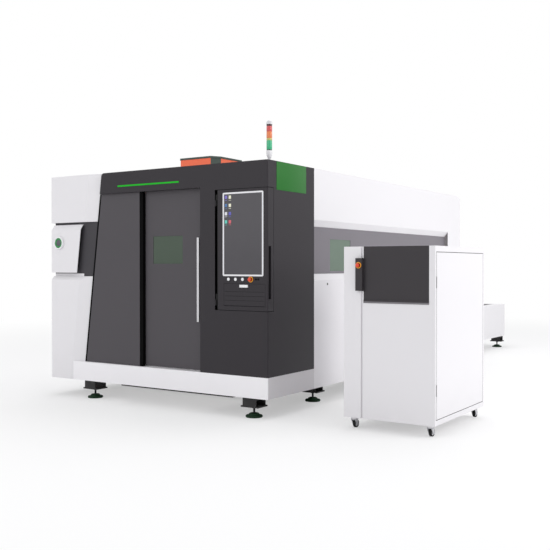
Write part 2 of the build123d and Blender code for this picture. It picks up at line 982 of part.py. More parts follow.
# Cross rails and rack on the beam's front face
with BuildPart() as beam_rails:
    for z in (beam_low_z + x_rail_inset, beam_top_z - x_rail_inset):
        block(middle - beam_half, middle + beam_half, beam_front - x_rail_depth, beam_front - seam,
              z - x_rail_height / 2, z + x_rail_height / 2)
    block(middle - beam_half, middle + beam_half, beam_front - x_rail_depth + carriage_gap,
          beam_front - seam, (beam_low_z + beam_top_z) / 2 - x_rail_height / 2,
          (beam_low_z + beam_top_z) / 2 + x_rail_height / 2)
save(beam_rails, "beam_rails")

# Two drive motors with gearboxes, one at each end of the gantry
motor_y = saddle_front + saddle_length - motor_size / 2
with BuildPart() as beam_motors:
    for side in (-1, 1):
        motor_x = middle + side * rail_x
        gearbox = [(gearbox_radius, saddle_top + seam), (gearbox_radius, saddle_top + gearbox_height)]
        many_sided(level_plane, (motor_x, motor_y), head_sides, gearbox)
        block(motor_x - motor_size / 2, motor_x + motor_size / 2, motor_y - motor_size / 2,
              motor_y + motor_size / 2, saddle_top + gearbox_height, saddle_top + motor_height)
    upright = beam_motors.edges().filter_by(Axis.Z)
    chamfer([e for e in upright if e.length > gearbox_height * 2], motor_size / 8)
save(beam_motors, "beam_motors")

# Carriage: plate with guide blocks on the cross rails and a tall spine for the head
carriage_x = middle + carriage_offset
cover_low = beam_low_z + cover_lift
cover_top = shell_height + cover_rise
spine_top = cover_top - spine_drop
with BuildPart() as carriage_frame:
    plate_low = beam_low_z + seam
    plate_high = beam_top_z - seam
    block(carriage_x - carriage_width / 2, carriage_x + carriage_width / 2, plate_front, plate_back,
          plate_low, plate_high)
    block(carriage_x - spine_width / 2, carriage_x + spine_width / 2, plate_front - spine_depth,
          plate_front, plate_low, spine_top)
    for z in (beam_low_z + x_rail_inset, beam_top_z - x_rail_inset):
        for side in (-1, 1):
            block_x = carriage_x + side * (carriage_width - block_length) / 2
            block(block_x - block_length / 2, block_x + block_length / 2, plate_back,
                  beam_front - carriage_gap, z - x_rail_height, z + x_rail_height)
            block(block_x - block_length / 2 - seam, block_x + block_length / 2 + seam,
                  plate_back + carriage_gap - seam, beam_front, z - x_rail_height / 2 - seam,
                  z + x_rail_height / 2 + seam, mode=Mode.SUBTRACT)
save(carriage_frame, "carriage_plate")

# Tall sheet cover of the carriage, with cut front corners and a capped top
def cover_plan(plane, grow):
    """Plan of the carriage cover, grown outwards."""
    with BuildSketch(plane) as plan:
        with BuildLine():
            half = cover_width / 2 + grow
            Polyline(
                (carriage_x - half, cover_back + grow),
                (carriage_x - half, cover_front + cover_corner_y - grow),
                (carriage_x - half + cover_corner_x, cover_front - grow),
                (carriage_x + half - cover_corner_x, cover_front - grow),
                (carriage_x + half, cover_front + cover_corner_y - grow),
                (carriage_x + half, cover_back + grow),
                close=True,
            )
        make_face()
    return plan.sketch


with BuildPart() as carriage_cover:
    extrude(cover_plan(Plane.XY.offset(cover_low), 0), amount=cover_top - cover_cap - cover_low)
    extrude(cover_plan(Plane.XY.offset(cover_top - cover_cap), cover_cap_lip), amount=cover_cap)
    extrude(cover_plan(Plane.XY.offset(cover_low - sheet), -sheet),
            amount=cover_top - cover_cap - cover_low, mode=Mode.SUBTRACT)
    block(carriage_x - spine_width / 2 - carriage_gap, carriage_x + spine_width / 2 + carriage_gap,
          cover_back - 2 * sheet, cover_back + 2 * sheet, cover_low - sheet, spine_top + carriage_gap,
          mode=Mode.SUBTRACT)
save(carriage_cover, "carriage_cover")

# Cutting head: slide, arm, body, fibre collimator, focus barrel and nozzle
head_y = plate_front - head_axis_from_plate
slide_back = plate_front - spine_depth - seam
slide_front = slide_back - head_slide_depth
head_slide_low = beam_low_z + head_slide_rise
nozzle_tip = slat_crest + head_travel + nozzle_gap
focus_low = nozzle_tip + nozzle_length
head_body_low = focus_low + head_focus_height
head_body_high = head_body_low + head_body_height
collimator_low = head_body_high + head_arm_height
with BuildPart() as cutting_head:
    block(carriage_x - head_slide_width / 2, carriage_x + head_slide_width / 2, slide_front, slide_back,
          head_slide_low, head_slide_low + head_slide_height)
    block(carriage_x - head_body_width / 2, carriage_x + head_body_width / 2,
          head_y - head_body_depth / 2, slide_front, head_body_high, head_body_high + head_arm_height)
    block(carriage_x - head_body_width / 2, carriage_x + head_body_width / 2,
          head_y - head_body_depth / 2, head_y + head_body_depth / 2, head_body_low, head_body_high)
    chamfer(cutting_head.edges().filter_by(Axis.Z).group_by(Axis.Y)[0], head_body_width / 8)
    collimator = [
        (head_collimator_radius, collimator_low),
        (head_collimator_radius, collimator_low + head_collimator_height),
    ]
    barrel = [(head_focus_radius, focus_low), (head_focus_radius, head_body_low)]
    nozzle = [(nozzle_tip_radius, nozzle_tip), (nozzle_radius, focus_low)]
    for rings in (collimator, barrel, nozzle):
        many_sided(level_plane, (carriage_x, head_y), head_sides, rings)
save(cutting_head, "cutting_head")

# Exchange table: two folded side walls and an end wall
table_low = bed_drop
table_half = table_width / 2
table_start = rear + seam
gusset_inset = (table_length - gusset_width) / (2 * gusset_count)
gusset_pitch = (table_length - gusset_width) / gusset_count
with BuildPart() as table_frame:
    side_fold = [
        (middle + bed_inner, table_low),
        (middle + table_half, table_low),
        (middle + table_half, table_height),
        (middle + bed_inner, table_height),
    ]
    outline(front_plane(table_start), folded(side_fold, table_wall), -(table_length - seam))
    for index in range(gusset_count):
        y = table_start + gusset_inset + index * gusset_pitch
        block(middle + bed_inner, middle + bed_inner + table_wall, y, y + gusset_width,
              table_low + table_wall, table_height - table_wall)
    mirror(about=mirror_plane)
    end_fold = [
        (table_end - table_end_width, table_low),
        (table_end, table_low),
        (table_end, table_height),
        (table_end - table_end_width, table_height),
    ]
    outline(side_plane(middle - bed_inner + seam), folded(end_fold, table_wall),
            2 * (bed_inner - seam))
save(table_frame, "table_frame")

# Angle rails at two levels, from inside the machine to the table's end
rails_front = front + lift_start + lift_length + rail_joint
rails_back = table_end - table_end_width - rails_end_gap


def angle_rail(top, y_low, y_high):
    """Right-hand angle rail with its running face at a height."""
    angle = [
        (middle + bed_inner - seam, top - rail_web),
        (middle + bed_inner - seam, top),
        (middle + bed_inner - rail_shelf, top),
    ]
    outline(front_plane(y_low), folded(angle, rail_shelf_thickness), -(y_high - y_low))


with BuildPart() as table_rails:
    angle_rail(lower_rail_top, rails_front, rails_back)
    angle_rail(upper_rail_top, rails_front, rails_back)
    mirror(about=mirror_plane)
save(table_rails, "table_rails")

# Lift inside the bed: two levels of rails; the lower one raises its pallet to the cutting height
lift_front = front + lift_start
lift_back = lift_front + lift_length
lift_rail_x = pallet_width / 2 - pallet_tube / 2
shoe_out = bed_inner - seam
shoe_in = bed_inner - lift_guide_depth - lift_shoe_wall
lift_low = lower_rail_top - lift_rail_height
with BuildPart() as lift_frame:
    block(middle + lift_rail_x - lift_rail_width / 2, middle + shoe_out, lift_front, lift_back,
          lift_low, lower_rail_top)
    angle_rail(upper_rail_top, lift_front, lift_back)
    for y in (*lift_guide_y, sum(lift_guide_y) / 2):
        block(middle + shoe_in, middle + shoe_out, y - lift_shoe / 2, y + lift_shoe / 2,
              lift_low, upper_rail_top)
    for y in lift_guide_y:
        block(middle + bed_inner - lift_guide_depth - seam, middle + bed_inner,
              y - lift_guide_width / 2 - seam, y + lift_guide_width / 2 + seam,
              lift_low - seam, upper_rail_top + seam, mode=Mode.SUBTRACT)
    mirror(about=mirror_plane)
    for index in range(lift_crosses):
        y = lift_front + (lift_length - lift_rail_width) * index / (lift_crosses - 1)
        block(middle - lift_rail_x, middle + lift_rail_x, y, y + lift_rail_width,
              lift_low, lower_rail_top - lift_rail_height / 4)
save(lift_frame, "lift_frame")


# Pallets: a wheeled ladder frame, and a comb of toothed slats on each
def pallet(start, level):
    """Ladder frame on wheels at a rail level."""
    frame_low = level + wheel_radius
    frame_high = frame_low + pallet_tube_height
    half = pallet_width / 2
    block(middle + half - pallet_tube, middle + half, start, start + pallet_length,
          frame_low, frame_high)
    wheel_pitch = (pallet_length - 2 * wheel_inset) / (wheel_count - 1)
    for index in range(wheel_count):
        wheel_x = middle + half - (pallet_tube + wheel_width) / 2
        tread = wheel_radius - seam
        many_sided(side_plane, (start + wheel_inset + index * wheel_pitch, frame_low), wheel_sides,
                   [(tread, wheel_x), (tread, wheel_x + wheel_width)])
    mirror(about=mirror_plane)
    cross_pitch = (pallet_length - pallet_tube) / (pallet_crosses - 1)
    for index in range(pallet_crosses):
        y = start + index * cross_pitch
        block(middle - half + pallet_tube, middle + half - pallet_tube, y, y + pallet_tube,
              frame_low, frame_high)


def slat_comb(start, level):
    """Row of toothed slats let into a comb strip at each end."""
    base = level + wheel_radius + pallet_tube_height + seam
    half = pallet_width / 2 - comb_inset
    pitch = (pallet_length - 2 * comb_inset - slat_thickness) / (slat_count - 1)
    tooth = 2 * (half - comb_width) / slat_teeth
    for side in (-1, 1):
        x = middle + side * (half - comb_width / 2)
        block(x - comb_width / 2, x + comb_width / 2, start + comb_inset, start + pallet_length - comb_inset,
              base, base + comb_height)
    crest = base + slat_height - slat_sink
    points = [(middle - half, base + slat_seat), (middle + half, base + slat_seat)]
    points.append((middle + half, crest - slat_tip))
    for index in range(slat_teeth):
        foot = middle + half - comb_width - index * tooth
        points.append((foot, crest - slat_tip))
        points.append((foot - tooth / 2, crest))
    points.append((middle - half + comb_width, crest - slat_tip))
    points.append((middle - half, crest - slat_tip))
    for index in range(slat_count):
        outline(front_plane(start + comb_inset + index * pitch), points, -slat_thickness)


upper_start = front + pallet_start + pallet_travel
lower_start = front + pallet_start
with BuildPart() as upper_pallet:
    pallet(upper_start, upper_rail_top)
save(upper_pallet, "upper_pallet")

with BuildPart() as lower_pallet:
    pallet(lower_start, lower_rail_top)
save(lower_pallet, "lower_pallet")

with BuildPart() as upper_slats:
    slat_comb(upper_start, upper_rail_top)
save(upper_slats, "upper_slats")

with BuildPart() as lower_slats:
    slat_comb(lower_start, lower_rail_top)
save(lower_slats, "lower_slats")

# Feet: channel brackets under the frame and round levelling pads on threaded stems
first_foot = front + side_foot_front
last_foot = rear - side_foot_rear
feet = [
    (right - foot_from_side, front + foot_from_front),
    (right - foot_front_left, front + foot_from_front),
]
for y in (first_foot, (first_foot + last_foot) / 2, last_foot):
    feet.append((right - foot_from_side, y))
    feet.append((left + foot_from_side, y))
for y in (rear + table_foot_front, table_end - table_foot_rear):
    feet.append((middle + table_half - table_foot_inset, y))
    feet.append((middle - table_half + table_foot_inset, y))
bracket_high = bed_drop - front_sill_drop - seam
bracket_low = bracket_high - bracket_height
with BuildPart() as foot_brackets:
    for x, y in feet:
        side = 1 if x > middle else -1
        wall = x + side * bracket_width / 2
        open_x = (wall, x - side * (bracket_width / 2 - bracket_web))
        block(x - bracket_width / 2, x + bracket_width / 2, y - bracket_length / 2, y + bracket_length / 2,
              bracket_low, bed_drop - seam)
        block(min(open_x), max(open_x), y - bracket_length / 2 + bracket_web,
              y + bracket_length / 2 - bracket_web, bracket_low + base_plate, bracket_high - bracket_web,
              mode=Mode.SUBTRACT)
        block(x - base_plate_width / 2, x + base_plate_width / 2, y - bracket_length / 2,
              y + bracket_length / 2, bracket_low, bracket_low + base_plate)
save(foot_brackets, "foot_brackets")

with BuildPart() as levelling_feet:
    pad = [(foot_radius, 0), (foot_radius, foot_rim), (foot_boss_radius, foot_boss)]
    stem = [(foot_stem_radius, foot_boss), (foot_stem_radius, bracket_low - foot_nut)]
    nut = [(foot_nut_radius, bracket_low - foot_nut), (foot_nut_radius, bracket_low - seam)]
    for place in feet:
        many_sided(level_plane, place, foot_sides, pad)
        many_sided(level_plane, place, foot_stem_sides, stem)
        many_sided(level_plane, place, foot_nut_sides, nut)
save(levelling_feet, "levelling_feet")

# Sliding front door: folded panel hung on two hooks from the rail behind the fascia
door_right = column_left - door_gap
door_left = door_right - door_width
door_front = front + door_setback
door_back = door_front + door_thickness
pane_left = door_left + door_window_from_left
pane_right = pane_left + door_window_width
pane_high = door_window_low + door_window_height
hanger_front = door_rail_back + seam
rail_top = rail_low + rail_height
with BuildPart() as front_door:
    block(door_left, door_right, door_front, door_back, door_bottom, door_top)
    block(door_left + sheet, door_right - sheet, door_front + sheet, door_back + sheet,
          door_bottom + sheet, door_top - sheet, mode=Mode.SUBTRACT)
    block(pane_left - sheet, pane_right + sheet, door_front, door_front + door_rim,
          door_window_low - sheet, pane_high + sheet)
    block(pane_left, pane_right, door_front - sheet, door_front + door_rim + sheet,
          door_window_low, pane_high, mode=Mode.SUBTRACT)
    block(door_left - seam, door_right + seam, fin_front - (guide_groove - guide_fin) / 2,
          fin_front + (guide_groove + guide_fin) / 2, door_bottom - seam,
          skirt_top + guide_rise + door_gap, mode=Mode.SUBTRACT)
    for x in (door_left + hanger_inset, door_right - hanger_inset - hanger_width):
        block(x, x + hanger_width, hanger_front, hanger_front + hanger_thickness,
              door_top - sheet, rail_top + seam + hanger_thickness)
        block(x, x + hanger_width, hanger_front - hanger_lip, hanger_front,
              rail_top + seam, rail_top + seam + hanger_thickness)
save(front_door, "front_door")

with BuildPart() as door_window:
    block(pane_left + seam, pane_right - seam, door_front + sheet, door_front + sheet + pane,
          door_window_low + seam, pane_high - seam)
save(door_window, "door_window")

# Long bar handle on two posts
handle_x = door_right - handle_from_edge
handle_back = door_front - handle_gap
handle_high = handle_low + handle_length
with BuildPart() as door_handle:
    block(handle_x - handle_width / 2, handle_x + handle_width / 2, handle_back - handle_depth,
          handle_back, handle_low, handle_high)
    fillet(door_handle.edges().filter_by(Axis.Z).group_by(Axis.Y)[0], handle_depth / 4)
    for z in (handle_low + handle_post_inset, handle_high - handle_post_inset):
        block(handle_x - handle_post / 2, handle_x + handle_post / 2, handle_back, door_front - seam,
              z - handle_post / 2, z + handle_post / 2)
save(door_handle, "door_handle")

# Console door: wraps the front corner, cut out for the screen, the keys and the keyboard flap
screen_left = right - screen_from_corner - screen_width
screen_right = right - screen_from_corner
screen_high = screen_low + screen_height
body_inset = screen_rim / 2
flap_right = right - flap_from_corner
flap_left = flap_right - flap_width
flap_high = flap_low + flap_height
button_places = [right - button_first + index * button_pitch for index in range(3)]
estop_x = right - estop_from_corner


def cross_bar(y, z, x_low, x_high, radius, mode=Mode.ADD):
    """Round bar that runs left to right."""
    with BuildSketch(side_plane(x_low)) as disc:
        with Locations((y, z)):
            Circle(radius)
    extrude(disc.sketch, amount=x_high - x_low, mode=mode)


with BuildPart() as console_door:
    block(console_left, right, front, front + console_wrap, console_low, console_top)
    corner = console_door.edges().filter_by(Axis.Z).sort_by_distance((right, front, console_low))[0]
    fillet(corner, corner_radius)
    block(console_left - seam, right - console_skin, front + console_skin,
          front + console_wrap + seam, console_low - seam, console_top + seam, mode=Mode.SUBTRACT)
    block(screen_left + body_inset - seam, screen_right - body_inset + seam, front - seam,
          front + console_skin + seam, screen_low + body_inset - seam,
          screen_high - body_inset + seam, mode=Mode.SUBTRACT)
    block(flap_left - flap_gap, flap_right + flap_gap, front - seam, front + console_skin + seam,
          flap_low - flap_gap, flap_high + flap_gap, mode=Mode.SUBTRACT)
    pin_bore = flap_pin_radius + axle_clearance
    many_sided(side_plane, (front + flap_hinge_radius, flap_low + flap_hinge_radius), bore_sides,
               [(pin_bore, flap_left - flap_pin_reach - seam),
                (pin_bore, flap_right + flap_pin_reach + seam)], mode=Mode.SUBTRACT, flats=True)
    block(right - console_skin - seam, right + seam, front + grip_from_front,
          front + grip_from_front + grip_width, grip_low, grip_low + grip_height, mode=Mode.SUBTRACT)
    for x in (*button_places, estop_x):
        many_sided(front_plane, (x, button_height), button_sides,
                   [(button_bore, front - seam), (button_bore, front + console_skin + seam)],
                   mode=Mode.SUBTRACT)
    for low in console_hinge_lows:
        block(console_hinge_x, console_left, front, console_hinge_y + console_hinge_radius,
              low + console_hinge_height / 2 + seam, low + console_hinge_height)
        upper_knuckle(console_hinge_x, console_hinge_y, low, console_hinge_height, console_hinge_radius)
save(console_door, "console_door")

with BuildPart() as monitor_frame:
    with BuildSketch(front_plane(front - screen_proud)) as face:
        with Locations(((screen_left + screen_right) / 2, (screen_low + screen_high) / 2)):
            RectangleRounded(screen_width, screen_height, screen_radius)
    extrude(face.sketch, amount=-(screen_proud - seam))
    block(screen_left + body_inset, screen_right - body_inset, front - seam, front + screen_depth,
          screen_low + body_inset, screen_high - body_inset)
    block(screen_left + screen_rim, screen_right - screen_rim, front - screen_proud - seam,
          front + pane, screen_low + screen_rim, screen_high - screen_rim, mode=Mode.SUBTRACT)
save(monitor_frame, "monitor_frame")

with BuildPart() as monitor_screen:
    block(screen_left + screen_rim + seam, screen_right - screen_rim - seam,
          front - screen_proud / 2, front + pane - seam,
          screen_low + screen_rim + seam, screen_high - screen_rim - seam)
save(monitor_screen, "monitor_screen")

for index, x in enumerate(button_places):
    with BuildPart() as button:
        head_back = front - button_travel
        head_front = head_back - button_head
        head_bevel = button_head / 5
        head = [(button_radius - head_bevel, head_front), (button_radius, head_front + head_bevel),
                (button_radius, head_back)]
        neck = button_bore - axle_clearance
        stem = [(neck, head_back), (neck, front + button_stem)]
        for rings in (head, stem):
            many_sided(front_plane, (x, button_height), button_sides, rings)
    save(button, "button_" + str(index + 1))


def mushroom(x, z, face):
    """Mushroom-headed stop button standing out of a face at a distance y."""
    head_back = face - estop_stand
    head_front = head_back - estop_head
    head_bevel = estop_head / 3
    head = [(estop_radius - head_bevel, head_front), (estop_radius, head_front + head_bevel),
            (estop_radius, head_back)]
    many_sided(front_plane, (x, z), estop_sides, head)
    neck = estop_neck - axle_clearance
    many_sided(front_plane, (x, z), button_sides, [(neck, head_back), (neck, face + estop_stem)])


with BuildPart() as console_estop:
    mushroom(estop_x, button_height, front)
save(console_estop, "console_estop")

# Keyboard flap: folds down on two pins at its lower edge
with BuildPart() as keyboard_flap:
    block(flap_left, flap_right, front, front + flap_thickness, flap_low, flap_high)
    low_edge = keyboard_flap.edges().filter_by(Axis.X).sort_by_distance((flap_left, front, flap_low))[0]
    fillet(low_edge, flap_hinge_radius - seam)
    pull_x = (flap_left + flap_right) / 2
    pull_z = flap_high - pull_drop
    block(pull_x - pull_width / 2, pull_x + pull_width / 2, front - pull_proud, front,
          pull_z - pull_height / 2, pull_z + pull_height / 2)
    block(pull_x - pull_width / 2 + sheet, pull_x + pull_width / 2 - sheet, front - pull_proud + sheet,
          front, pull_z - pull_height / 2 - seam, pull_z + pull_height / 4, mode=Mode.SUBTRACT)
    block(flap_left + keyboard_inset, flap_right - keyboard_inset, front + flap_thickness,
          front + flap_thickness + keyboard_depth, flap_low + keyboard_inset,
          flap_high - keyboard_inset)
    cross_bar(front + flap_hinge_radius, flap_low + flap_hinge_radius,
              flap_left - flap_pin_reach, flap_right + flap_pin_reach, flap_pin_radius)
save(keyboard_flap, "keyboard_flap")

# Tower light on the roof of the console column
tower_x = right - tower_from_corner
tower_y = front + tower_from_front
tower_base_low = shell_height + seam
lens_low = shell_height + tower_base_height + seam
lens_high = lens_low + tower_lens_height
tower_place = (tower_x, tower_y)
lens_radius = tower_radius - tower_gap / 2

with BuildPart() as tower_base:
    many_sided(level_plane, tower_place, tower_sides, [
        (tower_radius, tower_base_low),
        (tower_radius, tower_base_low + tower_gap),
        (tower_neck, tower_base_low + 2 * tower_gap),
        (tower_neck + tower_gap, tower_base_low + 5 * tower_gap),
        (tower_radius - tower_gap, tower_base_low + tower_base_height / 2),
        (tower_radius, lens_low - 5 * tower_gap),
        (tower_radius, lens_low - seam),
    ])
save(tower_base, "tower_base")

with BuildPart() as tower_lamp:
    many_sided(level_plane, tower_place, tower_sides, [
        (lens_radius, lens_low),
        (lens_radius, lens_high - tower_gap),
        (tower_radius, lens_high),
        (tower_radius, lens_high + tower_cap_height / 3),
        (tower_radius - tower_gap, lens_high + tower_cap_height * 2 / 3),
        (tower_radius / 2, lens_high + tower_cap_height - tower_gap),
        (tower_neck / 2, lens_high + tower_cap_height),
    ])
save(tower_lamp, "tower_lamp")

# Source cabinet: double-skinned housing on four casters
side_door_front = cabinet_front + side_door_inset
side_door_back = cabinet_back - side_door_rear_inset
side_hinge_y = side_door_front - side_door_gap / 2
panel_left = cabinet_left + front_panel_from_left
panel_right = panel_left + front_panel_width
recess = front_panel_depth + seam
caster_places = [
    (cabinet_left + caster_inset_x, cabinet_front + caster_inset_y),
    (cabinet_right - caster_inset_x, cabinet_front + caster_inset_y),
    (cabinet_left + caster_inset_x, cabinet_back - caster_inset_y),
    (cabinet_right - caster_inset_x, cabinet_back - caster_inset_y),
]
plate_low = cabinet_low - caster_plate_thickness
race_low = plate_low - caster_swivel_height
with BuildPart() as cabinet_shell:
    block(cabinet_left, cabinet_right, cabinet_front, cabinet_back, cabinet_low, cabinet_high)
    block(cabinet_left + cabinet_wall, cabinet_right - cabinet_wall, cabinet_front + cabinet_wall,
          cabinet_back - cabinet_wall, cabinet_low + cabinet_wall, cabinet_high - cabinet_wall,
          mode=Mode.SUBTRACT)
    block(cabinet_left + strip_width, cabinet_left + strip_width + groove_width,
          cabinet_front - seam, cabinet_front + groove_depth, cabinet_low - seam,
          cabinet_high + seam, mode=Mode.SUBTRACT)
    block(panel_left - seam, panel_right + seam, cabinet_front - seam, cabinet_front + recess,
          front_panel_low - seam, cabinet_high + seam, mode=Mode.SUBTRACT)
    block(cabinet_right - side_door_thickness - seam, cabinet_right + seam,
          side_door_front - side_door_gap, side_door_back + side_door_gap,
          side_door_low - side_door_gap, side_door_high + side_door_gap, mode=Mode.SUBTRACT)
    block(cabinet_right - cabinet_wall - seam, cabinet_right + seam, side_door_front + side_door_lip,
          side_door_back - side_door_lip, side_door_low + side_door_lip,
          side_door_high - side_door_lip, mode=Mode.SUBTRACT)
    for low in door_knuckle_lows:
        swing = door_knuckle_radius + seam
        many_sided(level_plane, (cabinet_right, side_hinge_y), knuckle_sides,
                   [(swing, low + door_knuckle_height / 2), (swing, low + door_knuckle_height + seam)],
                   mode=Mode.SUBTRACT, flats=True)
        lower_knuckle(cabinet_right, side_hinge_y, low, door_knuckle_height, door_knuckle_radius)
    block(cabinet_left + cabinet_wall, cabinet_right - cabinet_wall - shelf_gap,
          cabinet_front + cabinet_wall, cabinet_back - cabinet_wall,
          source_low - shelf_thickness, source_low)
    for x, y in caster_places:
        block(x - caster_plate / 2, x + caster_plate / 2, y - caster_plate / 2, y + caster_plate / 2,
              plate_low, cabinet_low)
        race = [(caster_swivel_radius, race_low), (caster_swivel_radius, plate_low)]
        many_sided(level_plane, (x, y), knuckle_sides, race)
        post(x, y, race_low - caster_crown, race_low, caster_pin_radius)
save(cabinet_shell, "cabinet_shell")

# Dark front panel with a proud lip along its lower edge
with BuildPart() as cabinet_front_panel:
    block(panel_left, panel_right, cabinet_front, cabinet_front + front_panel_depth,
          front_panel_low, cabinet_high)
    block(panel_left, panel_right, cabinet_front - front_panel_lip_proud, cabinet_front,
          front_panel_low, front_panel_low + front_panel_lip)
save(cabinet_front_panel, "cabinet_front_panel")

# Stop button box on the front strip
box_left = cabinet_left + estop_box_from_left
box_front = cabinet_front - estop_box_depth
cabinet_estop_x = box_left + estop_box_width / 2
with BuildPart() as cabinet_estop_box:
    block(box_left, box_left + estop_box_width, box_front, cabinet_front - seam,
          estop_box_low, estop_box_low + estop_box_height)
    chamfer(cabinet_estop_box.edges().group_by(Axis.Y)[0], sheet)
    block(box_left + sheet, box_left + estop_box_width - sheet, box_front + sheet, cabinet_front,
          estop_box_low + sheet, estop_box_low + estop_box_height - sheet, mode=Mode.SUBTRACT)
    many_sided(front_plane, (cabinet_estop_x, cabinet_estop_height), button_sides,
               [(estop_neck, box_front - seam), (estop_neck, box_front + 2 * sheet)], mode=Mode.SUBTRACT)
save(cabinet_estop_box, "cabinet_estop_box")

with BuildPart() as cabinet_estop:
    mushroom(cabinet_estop_x, cabinet_estop_height, box_front)
save(cabinet_estop, "cabinet_estop")

# Laser source on the shelf inside
source_left = cabinet_left + cabinet_wall + (cabinet_width - source_width) / 4
source_front = (cabinet_front + cabinet_back - source_depth) / 2
with BuildPart() as laser_source:
    block(source_left, source_left + source_width, source_front, source_front + source_depth,
          source_low + seam, source_low + source_height)
    chamfer(laser_source.edges().filter_by(Axis.Y), sheet)
save(laser_source, "laser_source")

# Side door of the cabinet, turning on two lift-off hinges near the front edge
with BuildPart() as cabinet_side_door:
    block(cabinet_right - side_door_thickness, cabinet_right, side_door_front, side_door_back,
          side_door_low, side_door_high)
    block(cabinet_right - side_door_thickness - seam, cabinet_right - sheet,
          side_door_front + tray, side_door_back - tray, side_door_low + tray,
          side_door_high - tray, mode=Mode.SUBTRACT)
    for low in door_knuckle_lows:
        swing = door_knuckle_radius + seam
        many_sided(level_plane, (cabinet_right, side_hinge_y), knuckle_sides,
                   [(swing, low - seam), (swing, low + door_knuckle_height / 2 + seam)],
                   mode=Mode.SUBTRACT, flats=True)
        block(cabinet_right - door_knuckle_radius / 2, cabinet_right + door_knuckle_radius / 2,
              side_hinge_y, side_door_front + door_knuckle_radius + sheet,
              low + door_knuckle_height / 2 + seam, low + door_knuckle_height)
        upper_knuckle(cabinet_right, side_hinge_y, low, door_knuckle_height, door_knuckle_radius)
save(cabinet_side_door, "cabinet_side_door")

# Casters: swivelling forks and tyred wheels
crown_high = race_low - seam
fork_half = caster_wheel_width / 2 + caster_fork_gap
for index, (x, y) in enumerate(caster_places):
    axle_y = y + caster_trail
    with BuildPart() as fork:
        crown_low = crown_high - caster_crown
        crown = [(caster_swivel_radius, crown_low), (caster_swivel_radius, crown_high)]
        many_sided(level_plane, (x, y), knuckle_sides, crown)
        pin_bore = caster_pin_radius + axle_clearance
        many_sided(level_plane, (x, y), bore_sides,
                   [(pin_bore, crown_low - seam), (pin_bore, crown_high + seam)],
                   mode=Mode.SUBTRACT, flats=True)
        cheek = [
            (y - caster_trail, crown_low),
            (axle_y - 2 * caster_axle_radius, caster_wheel_radius - 2 * caster_axle_radius),
            (axle_y + 2 * caster_axle_radius, caster_wheel_radius - 2 * caster_axle_radius),
            (axle_y, crown_low),
            (axle_y, crown_high),
            (y - caster_trail, crown_high),
        ]
        outline(side_plane(x - fork_half - caster_fork_thickness), cheek, caster_fork_thickness)
        outline(side_plane(x + fork_half), cheek, caster_fork_thickness)
        cross_bar(axle_y, caster_wheel_radius, x - fork_half, x + fork_half, caster_axle_radius)
    save(fork, "caster_fork_" + str(index + 1))
    with BuildPart() as wheel:
        wheel_low = x - caster_wheel_width / 2
        wheel_high = x + caster_wheel_width / 2
        shoulder = caster_tyre / 2
        tyre = [
            (caster_wheel_radius - shoulder, wheel_low),
            (caster_wheel_radius, wheel_low + shoulder),
            (caster_wheel_radius, wheel_high - shoulder),
            (caster_wheel_radius - shoulder, wheel_high),
        ]
        many_sided(side_plane, (axle_y, caster_wheel_radius), caster_sides, tyre)
        hub_bore = caster_axle_radius + axle_clearance
        many_sided(side_plane, (axle_y, caster_wheel_radius), bore_sides,
                   [(hub_bore, x - fork_half), (hub_bore, x + fork_half)], mode=Mode.SUBTRACT, flats=True)
    save(wheel, "caster_wheel_" + str(index + 1))
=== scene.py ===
# %% [markdown]
# # Dressing a fiber laser cutting machine
# The machine arrives as a finished frame of rigid pieces in metres: X to the right, Y from the
# front door to the exchange table, Z up. Nothing here moves or reshapes those pieces.
# This lesson gives every surface its finish and adds the small parts that catch the eye.

# %% Load the frame
import json
from math import cos, pi, radians, sin

import bmesh
import bpy
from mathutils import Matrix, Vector


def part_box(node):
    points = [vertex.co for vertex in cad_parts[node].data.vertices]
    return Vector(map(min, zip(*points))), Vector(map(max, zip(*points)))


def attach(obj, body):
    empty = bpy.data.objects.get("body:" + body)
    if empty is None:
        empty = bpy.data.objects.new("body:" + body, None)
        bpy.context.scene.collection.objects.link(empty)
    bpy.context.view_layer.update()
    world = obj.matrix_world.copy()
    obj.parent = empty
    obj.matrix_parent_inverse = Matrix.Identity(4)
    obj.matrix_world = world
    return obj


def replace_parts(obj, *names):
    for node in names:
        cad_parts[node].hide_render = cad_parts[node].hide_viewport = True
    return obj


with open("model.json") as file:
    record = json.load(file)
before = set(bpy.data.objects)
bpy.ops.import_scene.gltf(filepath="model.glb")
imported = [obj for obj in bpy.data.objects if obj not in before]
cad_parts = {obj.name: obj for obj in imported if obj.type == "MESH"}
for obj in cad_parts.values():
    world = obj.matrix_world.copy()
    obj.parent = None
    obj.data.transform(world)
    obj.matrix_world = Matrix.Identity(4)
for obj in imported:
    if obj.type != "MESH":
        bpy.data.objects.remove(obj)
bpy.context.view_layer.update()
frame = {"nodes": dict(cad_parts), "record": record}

# %% [markdown]
# Every place below is read from the frame, never typed in twice. A machine builder would call
# these the datum planes: the right side, the front face, the left side and the roof.

# %% Datum planes
shell_low, shell_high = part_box("front_shell")
right = shell_high.x
front = shell_low.y
roof = shell_high.z
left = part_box("left_lower_cover")[0].x
millimetre = 0.001
hair = 0.3 * millimetre
print("right", round(right, 3), "front", round(front, 3), "left", round(left, 3), "roof", round(roof, 3))

# %% [markdown]
# ## The camera
# The photograph was taken from the front right corner, a little above waist height, with a
# longish lens. Standing the camera where that photograph was taken keeps every proportion
# honest, so it comes before any finish is judged.

# %% Camera
film_width = 36.0
photo_pixels = 550
focal_pixels = 817.08
turn_degrees = 33.231
dip_degrees = 0.671
eye_from_right = 3.8087
eye_from_front = 5.7027
eye_height = 1.3093

